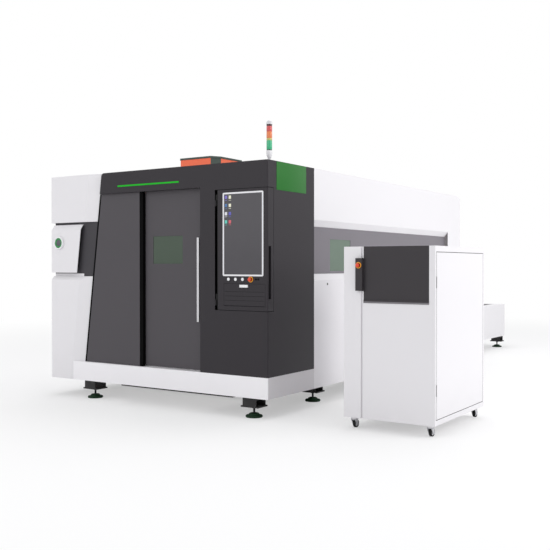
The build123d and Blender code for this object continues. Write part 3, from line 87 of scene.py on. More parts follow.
camera_data = bpy.data.cameras.new("photo_camera")
camera_data.sensor_width = film_width
camera_data.lens = focal_pixels / photo_pixels * film_width
camera = bpy.data.objects.new("photo_camera", camera_data)
camera.location = (right + eye_from_right, front - eye_from_front, eye_height)
camera.rotation_euler = (radians(90 - dip_degrees), 0, radians(turn_degrees))
bpy.context.scene.collection.objects.link(camera)
bpy.context.scene.camera = camera
print("lens", round(camera_data.lens, 2), "mm")

# %% [markdown]
# ## Shader maths in plain Python
# A node tree is easier to read as sums and products than as a web of links. This class wraps
# one output; adding or multiplying it adds the node that does so. Numbers go through Math,
# vectors through Vector Math and colours through Mix, because Math would turn a colour grey.


# %% A wire that can be added and multiplied
class Wire:
    """One output of a node tree, with Python's own signs for shader maths."""

    def __init__(self, tree, socket=None):
        self.tree = tree
        self.socket = socket

    def node(self, kind, settings=None, inputs=None, output=0):
        """Make a node: settings first, then the values or links of its sockets."""
        made = self.tree.nodes.new(kind)
        for key, value in (settings or {}).items():
            if key == "stops":
                ramp = made.color_ramp.elements
                for index, (place, colour) in enumerate(value):
                    stop = ramp[index] if index < len(ramp) else ramp.new(place)
                    stop.position = place
                    stop.color = (*colour, 1)
            else:
                setattr(made, key, value)
        for key, value in (inputs or {}).items():
            if isinstance(value, Wire):
                self.tree.links.new(value.socket, made.inputs[key])
            else:
                made.inputs[key].default_value = value
        return Wire(self.tree, made.outputs[output] if made.outputs else None)

    def _work(self, operation, first, second):
        kinds = {each.socket.type for each in (first, second) if isinstance(each, Wire)}
        if "RGBA" in kinds:
            pair = [each if isinstance(each, Wire) else (each, each, each, 1) for each in (first, second)]
            return self.node("ShaderNodeMix", {"data_type": "RGBA", "blend_type": operation},
                             {0: 1.0, 6: pair[0], 7: pair[1]}, output=2)
        if "VECTOR" in kinds:
            pair = [each if isinstance(each, Wire) else (each, each, each) for each in (first, second)]
            return self.node("ShaderNodeVectorMath", {"operation": operation}, {0: pair[0], 1: pair[1]})
        return self.node("ShaderNodeMath", {"operation": operation}, {0: first, 1: second})

    def __add__(self, other):
        return self._work("ADD", self, other)

    def __radd__(self, other):
        return self._work("ADD", other, self)

    def __sub__(self, other):
        return self._work("SUBTRACT", self, other)

    def __rsub__(self, other):
        return self._work("SUBTRACT", other, self)

    def __mul__(self, other):
        return self._work("MULTIPLY", self, other)

    def __rmul__(self, other):
        return self._work("MULTIPLY", other, self)

    def above(self, edge, width):
        """0 below an edge and 1 above it, with a soft step of a given width."""
        return self.node("ShaderNodeMapRange", {"interpolation_type": "SMOOTHSTEP"},
                         {"Value": self, "From Min": edge - width / 2, "From Max": edge + width / 2})

    def mix(self, first, second):
        """Colour that goes from first to second as this mask goes from 0 to 1."""
        pair = [each if isinstance(each, Wire) else (*each, 1) for each in (first, second)]
        return self.node("ShaderNodeMix", {"data_type": "RGBA"},
                         {0: self, 6: pair[0], 7: pair[1]}, output=2)

    def feed(self, surface, name):
        """Link this wire to a named socket of the surface shader."""
        self.tree.links.new(self.socket, surface.socket.node.inputs[name])


def new_finish(name, **constants):
    """A material with one Principled shader. Constants go straight onto its sockets."""
    material = bpy.data.materials.new(name)
    material.use_nodes = True
    material.node_tree.nodes.clear()
    wire = Wire(material.node_tree)
    sockets = {key.replace("_", " "): value for key, value in constants.items()}
    surface = wire.node("ShaderNodeBsdfPrincipled", None, sockets)
    wire.node("ShaderNodeOutputMaterial", None, {"Surface": surface})
    return material, wire, surface


def place_on_piece(wire):
    """Coordinates in metres that stay with the piece when it moves."""
    return wire.node("ShaderNodeTexCoord", output="Object")


def grain(wire, scale, detail=2.0, roughness=0.5, stretch=None):
    """Noise of a given number of blotches to the metre, stretched along an axis if asked."""
    at = place_on_piece(wire)
    if stretch:
        at = wire.node("ShaderNodeMapping", None, {"Vector": at, "Scale": stretch})
    return wire.node("ShaderNodeTexNoise", None,
                     {"Vector": at, "Scale": scale, "Detail": detail, "Roughness": roughness})


def bump(wire, height, surface, strength, distance):
    """Raise the surface where height is large, by up to a distance in metres."""
    wire.node("ShaderNodeBump", None,
              {"Strength": strength, "Distance": distance, "Height": height}).feed(surface, "Normal")


def axis_of(wire, name):
    """One coordinate of the piece, in metres."""
    return wire.node("ShaderNodeSeparateXYZ", None, {0: place_on_piece(wire)}, output=name)


def inside(wire, low, high, soft=1 * millimetre):
    """1 between two corners of a box and 0 outside it."""
    mask = 1.0
    for name, start, end in zip("XYZ", low, high):
        along = axis_of(wire, name)
        mask = along.above(start, soft) * (1 - along.above(end, soft)) * mask
    return mask


def paint(red, green, blue):
    """Linear colour from the three numbers of a paint chart, each from 0 to 255."""
    return tuple(((part / 255 + 0.055) / 1.055) ** 2.4 for part in (red, green, blue))


print("shader tools ready")

# %% [markdown]
# ## Powder coat
# Nearly every cover is folded sheet with a baked powder coat. Close up it has a fine orange
# peel; from a step away its colour drifts a little from sheet to sheet, and dust dulls the
# lowest hand's breadth. Noise at three scales gives those three effects. Some sheets change
# colour at a fold, so the maker can pass a rule that repaints part of the sheet by place.

# %% Powder coat
dust = paint(158, 153, 148)
dust_line, dust_fade = 0.28, 0.45
sheet_blotches, dust_blotches, peel_blotches = 0.9, 6.0, 700.0
peel_height = 0.4 * millimetre


def powder_coat(name, colour, roughness=0.42, drift=0.03, dusty=0.10, gloss=0.5, repaint=None):
    """Baked powder coat: orange peel, slight drift of tone and dust near the floor."""
    material, wire, surface = new_finish(name, Specular_IOR_Level=gloss)
    broad = grain(wire, sheet_blotches, 3.0)
    fine = grain(wire, peel_blotches, 1.0)
    tone = broad.mix(tuple(c * (1 - drift) for c in colour),
                     tuple(min(c * (1 + drift), 1.0) for c in colour))
    if repaint:
        tone = repaint(wire, tone)
    low = (1 - axis_of(wire, "Z").above(dust_line, dust_fade)) * grain(wire, dust_blotches, 4.0) * dusty
    low.mix(tone, dust).feed(surface, "Base Color")
    (roughness - 0.05 + broad * 0.06 + fine * 0.04 + low).feed(surface, "Roughness")
    bump(wire, fine, surface, 0.05, peel_height)
    return material


print("powder coat ready")

# %% [markdown]
# ## Metals
# Guide rails and slats are bare. Grinding leaves fine lines along a rail, so its noise is
# stretched along the length; an image of brushed steel could do it too, but noise has no seam
# and no scale to match. Laser-cut slats are mottled by heat and spatter.

# %% Bare metal


def ground_metal(name, colour, roughness=0.3, along=(40.0, 1.0, 40.0), lines=9.0):
    """Ground or drawn metal with fine lines along one axis."""
    material, wire, surface = new_finish(name, Metallic=1.0)
    streaks = grain(wire, lines, 4.0, 0.6, along)
    smear = grain(wire, 3.0, 3.0)
    tone = streaks.mix(tuple(c * 0.86 for c in colour), tuple(min(c * 1.12, 1.0) for c in colour))
    smear.mix(tone, tuple(c * 0.8 for c in colour)).feed(surface, "Base Color")
    (roughness + streaks * 0.16 + smear * 0.05).feed(surface, "Roughness")
    bump(wire, streaks, surface, 0.12, 0.3 * millimetre)
    return material


def scorched_plate(name, colour, scorch):
    """Raw plate mottled by heat, with spatter spots."""
    material, wire, surface = new_finish(name)
    blotch = grain(wire, 14.0, 5.0, 0.6)
    spots = grain(wire, 260.0, 2.0)
    heat = blotch.above(0.52, 0.22)
    heat.mix(colour, scorch).feed(surface, "Base Color")
    (0.85 - heat * 0.5).feed(surface, "Metallic")
    (0.42 + heat * 0.25 + spots * 0.1).feed(surface, "Roughness")
    bump(wire, spots.above(0.62, 0.1) + blotch * 0.4, surface, 0.35, 0.8 * millimetre)
    return material


print("metal finishes ready")

# %% [markdown]
# ## Plastics, rubber and glass
# Moulded plastic has a fine even grain and a soft gloss. The laser-safe panes are tinted green
# and so dense that they show almost nothing of the inside, only a film of dust.

# %% Plastic, rubber and panes


def moulded(name, colour, roughness=0.35, texture=900.0, strength=0.08, gloss=0.5):
    """Moulded plastic or rubber with an even fine grain."""
    material, wire, surface = new_finish(name, Specular_IOR_Level=gloss)
    fine = grain(wire, texture, 2.0)
    broad = grain(wire, 8.0, 3.0)
    tone = broad.mix(tuple(c * 0.95 for c in colour), tuple(min(c * 1.05, 1.0) for c in colour))
    tone.feed(surface, "Base Color")
    (roughness - 0.04 + broad * 0.08 + fine * 0.04).feed(surface, "Roughness")
    bump(wire, fine, surface, strength, 0.2 * millimetre)
    return material


def tinted_pane(name, colour, clear):
    """Laser-safe pane: glossy, densely tinted, with a faint film of dust."""
    material, wire, surface = new_finish(name, Transmission_Weight=clear, IOR=1.47,
                                         Specular_IOR_Level=0.3)
    film = grain(wire, 5.0, 4.0)
    film.mix(colour, tuple(c * 1.2 for c in colour)).feed(surface, "Base Color")
    (0.12 + film * 0.10).feed(surface, "Roughness")
    bump(wire, grain(wire, 2.0, 1.0), surface, 0.02, 1.0 * millimetre)
    return material


def lit(name, colour, strength, shade=0.8):
    """Lamp cover that glows from inside, slightly uneven along its length."""
    material, wire, surface = new_finish(name, Emission_Strength=strength, Roughness=0.3,
                                         Specular_IOR_Level=0.2)
    patch = grain(wire, 12.0, 2.0)
    glow = patch.mix(tuple(c * shade for c in colour), colour)
    glow.feed(surface, "Emission Color")
    (glow * 0.3).feed(surface, "Base Color")
    bump(wire, grain(wire, 500.0, 1.0), surface, 0.05, 0.2 * millimetre)
    return material


print("plastic, rubber and panes ready")

# %% [markdown]
# ## Rules that repaint part of a sheet
# Some pieces change colour where they are folded or fitted, and some carry painted shade. The
# console's hinge slot, the gap round the cabinet's door and the underside of the bed lie in the
# dark, so they get painted shade in black or grey. The grey window band gets painted shade round
# the front corner, where it lies recessed behind the middle cover, and the carriage cover has a
# dark cap and cut corners. The corner skirt gets painted shade on its side, the cabinet's dark
# panel has a pale lip and the keyboard flap a white pull. A second material on some faces would
# need cuts in the mesh. A mask made from the place on the piece needs none, and it stays put
# when the piece moves.

# %% Rules by place
white = paint(230, 228, 231)
charcoal = paint(50, 47, 51)
slate = paint(80, 77, 81)
band_grey = paint(124, 120, 126)
black = paint(10, 10, 11)
# The corner and gap tones are painted shade.
corner_painted_shade, gap_painted_shadow, lip_grey = paint(66, 64, 68), paint(60, 58, 60), paint(122, 119, 123)
# The skirts' lifted white is painted light, and their grey side painted shade.
skirt_painted_light_white, skirt_painted_shade = paint(243, 241, 244), paint(208, 205, 208)
cap_green, pull_white = paint(72, 84, 78), paint(244, 243, 245)
console_low, console_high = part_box("console_door")
console_left = console_low.x
cover_low, cover_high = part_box("carriage_cover")
flap_low, flap_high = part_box("keyboard_flap")
hinge_slot_width, hinge_slot_depth, hinge_slot_ends = 27 * millimetre, 30 * millimetre, 4 * millimetre
skirt_foot, shade_fade = 0.27, 0.04
band_corner_depth, lip_height, pull_proud = 0.75, 13 * millimetre, 0.8 * millimetre
cover_cut_x, cover_cut_y = 56 * millimetre, 100 * millimetre
cover_cap, cut_at, cut_fade = 20 * millimetre, 1.12, 0.06


def dark_hinge_slot(wire, tone):
    """Painted shade: black inside the narrow slot at the console door's hinges."""
    low = (console_left - 1 * millimetre, front - 1.0, console_low.z - hinge_slot_ends)
    high = (console_left + hinge_slot_width, front + hinge_slot_depth, console_high.z + hinge_slot_ends)
    return inside(wire, low, high).mix(tone, black)


def dark_underside(wire, tone):
    """Painted shadow: black below the skirt's height, where the bed stands in its own shadow."""
    return axis_of(wire, "Z").above(skirt_foot, shade_fade).mix(black, tone)


def dark_front_corner(wire, tone):
    """Painted shade where the band lies recessed behind the middle cover, with the white lower edge that
    shows in its gap.
    """
    behind = front + band_corner_depth
    corner = axis_of(wire, "Y").above(behind, 10 * millimetre).mix(corner_painted_shade, tone)
    lower_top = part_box("left_lower_cover")[1].z
    mid_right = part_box("left_mid_cover")[1].x
    edge = inside(wire, (left, front, lower_top - 10 * millimetre),
                  (mid_right, behind, lower_top + 27 * millimetre))
    return edge.mix(corner, white)


def dark_cover_edges(wire, tone):
    """Dark cap and dark cut corners of the carriage cover."""
    across = axis_of(wire, "X")
    deep = (axis_of(wire, "Y") - cover_low.y) * (1 / cover_cut_y)
    left_cut = 1 - ((across - cover_low.x) * (1 / cover_cut_x) + deep).above(cut_at, cut_fade)
    right_cut = 1 - ((cover_high.x - across) * (1 / cover_cut_x) + deep).above(cut_at, cut_fade)
    cap = axis_of(wire, "Z").above(cover_high.z - cover_cap, 1 * millimetre)
    dark = left_cut + right_cut + cap
    return dark.above(0.5, 0.2).mix(tone, cap_green)


def dark_door_gap(wire, tone):
    """Painted shadow: grey line round the cabinet's side door, inside the gap, and on its hinges."""
    low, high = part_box("cabinet_side_door")
    crisp = 0.2 * millimetre
    behind_face = 1 - axis_of(wire, "X").above(high.x - 2 * crisp, crisp)
    margin = Vector((0.2, 1, 1)) * 4 * millimetre
    around = inside(wire, low - margin, high + margin, crisp)
    rim = Vector((0.2, -1, -1)) * millimetre
    within = inside(wire, low - rim, high + rim, crisp)
    return (around * (1 - within) * behind_face).mix(tone, gap_painted_shadow)


def pale_lip(wire, tone):
    """Paler folded lip along the foot of the cabinet's dark panel."""
    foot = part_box("cabinet_front_panel")[0].z
    return axis_of(wire, "Z").above(foot + lip_height, 1 * millimetre).mix(lip_grey, tone)


def shaded_side(wire, tone):
    """Painted shade: greyer on the side of the corner skirt, which is a sheet of its own."""
    return axis_of(wire, "X").above(right - 1 * millimetre, 0.5 * millimetre).mix(tone, skirt_painted_shade)


def white_pull(wire, tone):
    """White finger pull, the only part of the flap that stands out of its face."""
    return axis_of(wire, "Y").above(front - pull_proud, 0.4 * millimetre).mix(pull_white, tone)


print("eight rules ready")

# %% [markdown]
# ## The machine's palette
# One finish per paint pot or stock, named as a workshop would. The colours are read from the
# photograph and written as chart numbers, because the light is neutral.

# %% Palette
matt = 0.2
finishes = {
    "white_paint": powder_coat("white_powder_coat", white, 0.38, 0.012),
    # The charcoal coat carries painted shade in the console's hinge slot.
    "charcoal_paint": powder_coat("charcoal_powder_coat", charcoal, 0.46, 0.05, 0.03, matt,
                                  dark_hinge_slot),
    "grey_paint": powder_coat("slate_powder_coat", slate, 0.44, 0.05, 0.03, matt),
    # The window band's coat carries painted shade at its front corner.
    "band_paint": powder_coat("window_band_coat", band_grey, 0.44, 0.04, 0.0, matt, dark_front_corner),
    "black_trim": moulded("black_brush_and_trim", paint(8, 8, 9), 0.7, 300.0, 0.3, 0.05),
    "black_paint": powder_coat("black_bracket_coat", paint(36, 36, 38), 0.45, 0.08, 0.10, matt),
    # The bed's coat carries painted shadow below the skirt's height.
    "bed_paint": powder_coat("bed_coat", paint(150, 152, 155), 0.5, 0.08, 0.0, matt, dark_underside),
    "rail_steel": ground_metal("ground_rail_steel", (0.62, 0.62, 0.63)),
    "orange_paint": powder_coat("orange_powder_coat", paint(255, 122, 88), 0.4, 0.03, 0.0, matt,
                                dark_cover_edges),
    "green_glass": tinted_pane("laser_safe_pane", paint(70, 83, 71), 0.05),
    "screen_glass": moulded("dark_screen", paint(82, 80, 84), 0.18, 300.0, 0.01, matt),
    "white_plastic": moulded("white_plastic", paint(232, 231, 234), 0.3),
    "handle_metal": ground_metal("satin_handle", paint(206, 205, 208), 0.34, (60.0, 60.0, 1.0), 12.0),
    "green_light": lit("green_light_strip", paint(6, 168, 22), 1.0),
    "lamp_bezel": moulded("pale_bezel", paint(240, 240, 242), 0.3),
    "key_metal": moulded("pale_push_button", paint(238, 238, 240), 0.3),
    "stop_red": moulded("stop_button_red", paint(226, 66, 38), 0.3),
    "box_grey": moulded("stop_box_plastic", paint(58, 55, 58), 0.45, 900.0, 0.08, matt),
    "pad_green": moulded("green_pad_rubber", paint(26, 52, 33), 0.55, 500.0, 0.15, matt),
    "motor_black": powder_coat("motor_black", paint(38, 38, 40), 0.4, 0.1, 0.0, matt),
    "carriage_metal": ground_metal("milled_aluminium", (0.66, 0.67, 0.69), 0.32, (6.0, 6.0, 60.0), 20.0),
    "lift_paint": powder_coat("lift_coat", paint(80, 85, 90), 0.5, 0.08, 0.1, matt),
    "pallet_paint": powder_coat("pallet_coat", paint(100, 104, 108), 0.5, 0.1, 0.1, matt),
    "slat_steel": scorched_plate("scorched_slats", (0.34, 0.32, 0.30), (0.09, 0.07, 0.06)),
    "caster_metal": moulded("bright_zinc", paint(186, 186, 190), 0.32, 400.0, 0.05, 0.8),
    "caster_tyre": moulded("caster_rubber", paint(28, 28, 30), 0.6, 500.0, 0.15, matt),
    "source_paint": powder_coat("source_box_coat", paint(150, 152, 157), 0.45, 0.05, 0.0, matt),
}
print(len(finishes), "finishes")

# %% [markdown]
# ## Two finishes that change along a piece
# The tower lamp is stacked in colours under a pale dome, and the cutting head ends in a copper
# nozzle. Each is one solid piece, so the change is drawn by height on the piece.

# %% Finishes by height


def stacked_lamp():
    """Tower lamp: green, yellow, orange, red and dark sections under a pale dome."""
    low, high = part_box("tower_lamp")
    tall = high.z - low.z
    material, wire, surface = new_finish("stacked_lamp_lens", Roughness=0.2, Specular_IOR_Level=0.6)
    along = (axis_of(wire, "Z") - low.z) * (1 / tall)
    sections = [
        (0.0, paint(40, 70, 60)),
        (0.03, paint(60, 176, 128)),
        (0.33, paint(190, 184, 110)),
        (0.40, paint(226, 128, 78)),
        (0.62, paint(206, 84, 84)),
        (0.80, paint(72, 38, 44)),
        (0.86, paint(214, 214, 218)),
    ]
    colours = wire.node("ShaderNodeValToRGB", {"stops": sections}, {0: along})
    colours.socket.node.color_ramp.interpolation = "CONSTANT"
    ribs = grain(wire, 1.0, 1.0, 0.5, (1.0, 1.0, 260.0))
    (colours * (0.85 + ribs * 0.3)).feed(surface, "Base Color")
    bump(wire, ribs, surface, 0.3, 0.6 * millimetre)
    return material


def head_metal():
    """Black anodised head with a bare barrel and a copper nozzle."""
    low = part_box("cutting_head")[0]
    material, wire, surface = new_finish("cutting_head_metal", Metallic=1.0)
    height = axis_of(wire, "Z")
    lines = grain(wire, 30.0, 3.0, 0.5, (1.0, 1.0, 30.0))
    copper = 1 - height.above(low.z + 0.05, 0.002)
    barrel = 1 - height.above(low.z + 0.10, 0.002)
    body = barrel.mix((0.10, 0.10, 0.11), (0.62, 0.62, 0.64))
    copper.mix(body, (0.78, 0.34, 0.18)).feed(surface, "Base Color")
    (0.28 + lines * 0.2).feed(surface, "Roughness")
    bump(wire, lines, surface, 0.1, 0.3 * millimetre)
    return material


finishes["tower_lens"] = stacked_lamp()
finishes["head_metal"] = head_metal()
print("lamp and head ready")

# %% [markdown]
# Now each carried-over piece takes the finish of the slot that the record gives it. A few share
# a slot with others but need a pot or a rule of their own: the side panes, whose paler tint is
# painted light, and the skirts, whose white is lifted a shade as painted light, because they
# stand lowest and get the least light.

# %% Dress the frame
own_finish = {
    "keyboard_flap": powder_coat("flap_coat", charcoal, 0.46, 0.05, 0.0, matt, white_pull),
    # The side panes' paler tint is painted light.
    "side_windows": tinted_pane("side_pane_painted_light", paint(100, 117, 104), 0.05),
    "cabinet_front_panel": powder_coat("cabinet_panel_coat", paint(60, 57, 60), 0.46, 0.05, 0.0, matt,
                                       pale_lip),
    # The cabinet's coats carry painted shadow round the side door.
    "cabinet_shell": powder_coat("cabinet_coat", white, 0.38, 0.012, 0.10, 0.5, dark_door_gap),
    "cabinet_side_door": powder_coat("cabinet_door_coat", white, 0.38, 0.012, 0.10, 0.5, dark_door_gap),
    # The corner skirt has painted light in its lifted white and painted shade on its side.
    "corner_skirt": powder_coat("corner_skirt_coat", skirt_painted_light_white, 0.38, 0.012, 0.04, 0.5,
                                shaded_side),
    # The console door's coat carries painted shade in its hinge slot.
    "console_door": powder_coat("console_door_coat", charcoal, 0.46, 0.05, 0.03, matt, dark_hinge_slot),
    # The skirt's lifted white is painted light.
    "front_skirt": powder_coat("skirt_coat", skirt_painted_light_white, 0.38, 0.012, 0.04),
}
for part in frame["record"]["subparts"]:
    piece = frame["nodes"][part["node"]]
    piece.data.materials.clear()
    piece.data.materials.append(own_finish.get(part["node"], finishes[part["material_slot"]]))

# %% [markdown]
# ## Tools for small parts
# Small parts are either turned, like a button's ring, or cut from plate with softened edges,
# like a screen tile. Ready-made cylinders and cubes would leave edges too sharp to catch the
# light, so one helper per kind builds the mesh with its rounded edges at once.

# %% Turned parts and plates
crease_degrees = 32


def new_piece(name, data, slot, body, finish=None):
    """Finish a mesh, hang it on the body that carries it and give it its own finish or its slot's."""
    mesh = bpy.data.meshes.new(name)
    bmesh.ops.recalc_face_normals(data, faces=data.faces)
    data.to_mesh(mesh)
    data.free()
    mesh.shade_smooth()
    mesh.set_sharp_from_angle(angle=radians(crease_degrees))
    piece = bpy.data.objects.new(name, mesh)
    bpy.context.scene.collection.objects.link(piece)
    piece.data.materials.append(finish or finishes[slot])
    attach(piece, body)
    return piece


def lathe(data, profile, centre, along, steps=40):
    """Turn a profile of (radius, distance) pairs about an axis through a centre."""
    along = Vector(along).normalized()
    side = along.orthogonal().normalized()
    other = along.cross(side)
    rings = []
    turns = [2 * pi * step / steps for step in range(steps)]
    for radius, distance in profile:
        middle = Vector(centre) + along * distance
        rings.append([data.verts.new(middle + (side * cos(turn) + other * sin(turn)) * radius)
                      for turn in turns])
    for first, second in zip(rings, rings[1:]):
        for step in range(steps):
            after = (step + 1) % steps
            data.faces.new((first[step], first[after], second[after], second[step]))
    data.faces.new(rings[0][::-1])
    data.faces.new(rings[-1])


def hoop(data, inner, outer, low, high, centre, along, edge, steps=48):
    """Turn a closed ring of rectangular section with softened corners."""
    along = Vector(along).normalized()
    side = along.orthogonal().normalized()
    other = along.cross(side)
    section = [
        (inner + edge, low), (outer - edge, low), (outer, low + edge), (outer, high - edge),
        (outer - edge, high), (inner + edge, high), (inner, high - edge), (inner, low + edge),
    ]
    rings = []
    for step in range(steps):
        angle = 2 * pi * step / steps
        out = side * cos(angle) + other * sin(angle)
        rings.append([data.verts.new(Vector(centre) + out * radius + along * place)
                      for radius, place in section])
    for step in range(steps):
        first, second = rings[step], rings[(step + 1) % steps]
        for index in range(len(section)):
            after = (index + 1) % len(section)
            data.faces.new((first[index], first[after], second[after], second[index]))


def slab(data, low, high, edge):
    """Rectangular plate or block with every edge softened."""
    made = bmesh.ops.create_cube(data, size=1.0)
    size = Vector(high) - Vector(low)
    centre = (Vector(high) + Vector(low)) / 2
    for vertex in made["verts"]:
        vertex.co = Vector(v * s for v, s in zip(vertex.co, size)) + centre
    edges = list({e for v in made["verts"] for e in v.link_edges})
    bmesh.ops.bevel(data, geom=edges, offset=edge, segments=2, affect="EDGES", profile=0.5)


def middle_of(node):
    """Middle of a node's box."""
    low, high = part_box(node)
    return (low + high) / 2


toward_front = (0, -1, 0)
upward = (0, 0, 1)
print("small part tools ready")

# %% [markdown]
# ## Port lamp
# The round lamp on the left cover has a thick pale bezel, a green ring and a dark lens. The
# frame's solid has flat sides to stay light, so a smooth turned bezel stands in for it here.

# %% Port lamp
lamp_low, lamp_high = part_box("port_lamp")
lamp_centre = middle_of("port_lamp")
lamp_centre.y = lamp_high.y
lamp_radius = (lamp_high.z - lamp_low.z) / 2
lamp_proud = lamp_high.y - lamp_low.y
green_radius, lens_radius = 50 * millimetre, 32 * millimetre
data = bmesh.new()
hoop(data, green_radius + hair, lamp_radius, 0, lamp_proud, lamp_centre, toward_front, 4 * millimetre, 64)
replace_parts(new_piece("port_lamp_bezel", data, "lamp_bezel", "machine"), "port_lamp")
data = bmesh.new()
hoop(data, lens_radius + hair, green_radius, 0, lamp_proud * 0.72, lamp_centre, toward_front,
     1.5 * millimetre, 64)
green_ring = moulded("green_lamp_ring", paint(36, 138, 70), 0.25)
new_piece("port_lamp_ring", data, "green_light", "machine", green_ring)
data = bmesh.new()
lathe(data, [(lens_radius, 0), (lens_radius, lamp_proud * 0.6), (lens_radius * 0.8, lamp_proud * 0.72),
             (lens_radius * 0.45, lamp_proud * 0.78), (lens_radius * 0.1, lamp_proud * 0.8)],
      lamp_centre, toward_front, 48)
new_piece("port_lamp_lens", data, "green_glass", "machine", moulded("lamp_lens", paint(84, 84, 92), 0.12))
print("port lamp", round(2 * lamp_radius, 3), "m across")

# %% [markdown]
# ## Tower light
# A waisted white foot carries a stack of lenses. Turned profiles follow the frame's own rings:
# the foot swells from a narrow neck, each lens section is slightly barrelled, and a dome
# closes the top.

# %% Tower light
foot_low, foot_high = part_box("tower_base")
foot_centre = Vector((middle_of("tower_base").x, middle_of("tower_base").y, foot_low.z))
foot_radius = (foot_high.x - foot_low.x) / 2
foot_tall = foot_high.z - foot_low.z
foot_profile = [(1.0, 0.0), (1.0, 0.03), (0.92, 0.05), (0.36, 0.08), (0.35, 0.13), (0.42, 0.18),
                (0.60, 0.30), (0.78, 0.44), (0.91, 0.60), (0.98, 0.76), (1.0, 0.88), (1.0, 1.0)]
data = bmesh.new()
lathe(data, [(radius * foot_radius, place * foot_tall) for radius, place in foot_profile],
      foot_centre, upward, 48)
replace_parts(new_piece("tower_light_foot", data, "white_plastic", "machine"), "tower_base")

lens_low, lens_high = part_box("tower_lamp")
lens_tall = lens_high.z - lens_low.z
lens_profile = [(0.90, 0.0), (0.90, 0.03)]
for low, high in ((0.03, 0.33), (0.33, 0.40), (0.40, 0.62), (0.62, 0.80), (0.80, 0.86)):
    lens_profile += [(0.90, low + 0.003), (0.935, low + 0.01), (0.94, (low + high) / 2),
                     (0.935, high - 0.01), (0.90, high - 0.003)]
lens_profile += [(1.0, 0.862), (1.0, 0.90), (0.93, 0.94), (0.76, 0.97), (0.5, 0.99), (0.12, 1.0)]
data = bmesh.new()
lathe(data, [(radius * foot_radius, place * lens_tall) for radius, place in lens_profile],
      Vector((foot_centre.x, foot_centre.y, lens_low.z)), upward, 48)
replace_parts(new_piece("tower_light_lens", data, "tower_lens", "machine"), "tower_lamp")
print("tower light", round(lens_high.z - foot_low.z, 3), "m tall")

# %% [markdown]
# ## Buttons and stop buttons
# Three white buttons sit in thin bezels under the screen. Each turned head stands in for the
# flat-sided solid and rides on the same body, so it still presses.

# %% Push buttons
face = front
for index in (1, 2, 3):
    node = "button_" + str(index)
    low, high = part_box(node)
    radius = (high.x - low.x) / 2
    centre = Vector((middle_of(node).x, face, middle_of(node).z))
    proud = face - low.y
    depth = high.y - face
    data = bmesh.new()
    lathe(data, [(0.7 * radius, -depth), (0.7 * radius, 0.5 * proud), (radius, 0.5 * proud),
                 (radius, 0.82 * proud), (0.93 * radius, 0.95 * proud), (0.8 * radius, proud),
                 (0.2 * radius, 0.97 * proud)], centre, toward_front, 32)
    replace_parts(new_piece("push_button_" + str(index), data, "key_metal", node), node)
    data = bmesh.new()
    hoop(data, radius + 0.4 * millimetre, radius + 3 * millimetre, hair, 2 * millimetre,
         centre, toward_front, 0.8 * millimetre, 32)
    new_piece("button_bezel_" + str(index), data, "box_grey", "console_door")
print("three buttons,", round(2 * radius / millimetre), "mm across")

# %% [markdown]
# The two stop buttons have a domed red head over a black seat and a yellow collar. The head
# moves when it is pressed, and the collar stays on whatever carries the button: the console's
# door or the cabinet. So the three turned parts are three pieces.

# %% Stop buttons
stop_yellow = moulded("stop_collar_yellow", paint(236, 158, 36), 0.35)
stop_head_depth, stem_gap = 14 * millimetre, 2 * millimetre
stop_buttons = (("console_estop", "console_door", "console"), ("cabinet_estop", "machine", "cabinet"))
for node, carrier, name in stop_buttons:
    low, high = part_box(node)
    radius = (high.x - low.x) / 2
    face = low.y + 2 * stop_head_depth
    centre = Vector((middle_of(node).x, face, middle_of(node).z))
    depth = high.y - face - stem_gap
    head_back = face - low.y - stop_head_depth
    data = bmesh.new()
    lathe(data, [(0.45 * radius, -depth), (0.45 * radius, head_back), (0.75 * radius, head_back),
                 (0.84 * radius, head_back + 0.15 * stop_head_depth),
                 (0.84 * radius, head_back + 0.5 * stop_head_depth),
                 (0.77 * radius, head_back + 0.78 * stop_head_depth),
                 (0.58 * radius, head_back + 0.94 * stop_head_depth),
                 (0.3 * radius, head_back + stop_head_depth),
                 (0.1 * radius, head_back + stop_head_depth)], centre, toward_front, 40)
    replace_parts(new_piece(name + "_stop_head", data, "stop_red", node), node)
    data = bmesh.new()
    hoop(data, 0.86 * radius, 1.25 * radius, hair, 7 * millimetre, centre, toward_front,
         1.5 * millimetre, 40)
    new_piece(name + "_stop_collar", data, "stop_red", carrier, stop_yellow)
    data = bmesh.new()
    hoop(data, 0.5 * radius, 0.84 * radius, hair, 5 * millimetre, centre, toward_front,
         1 * millimetre, 40)
    new_piece(name + "_stop_seat", data, "black_trim", carrier)
print("two stop buttons,", round(2 * radius / millimetre), "mm across")

# %% [markdown]
# ## Console details
# The screen shows eight small coloured tiles. An image would tie the screen to one picture, so
# each tile is a thin plain square with a bar under it, set into the glass by half its depth.

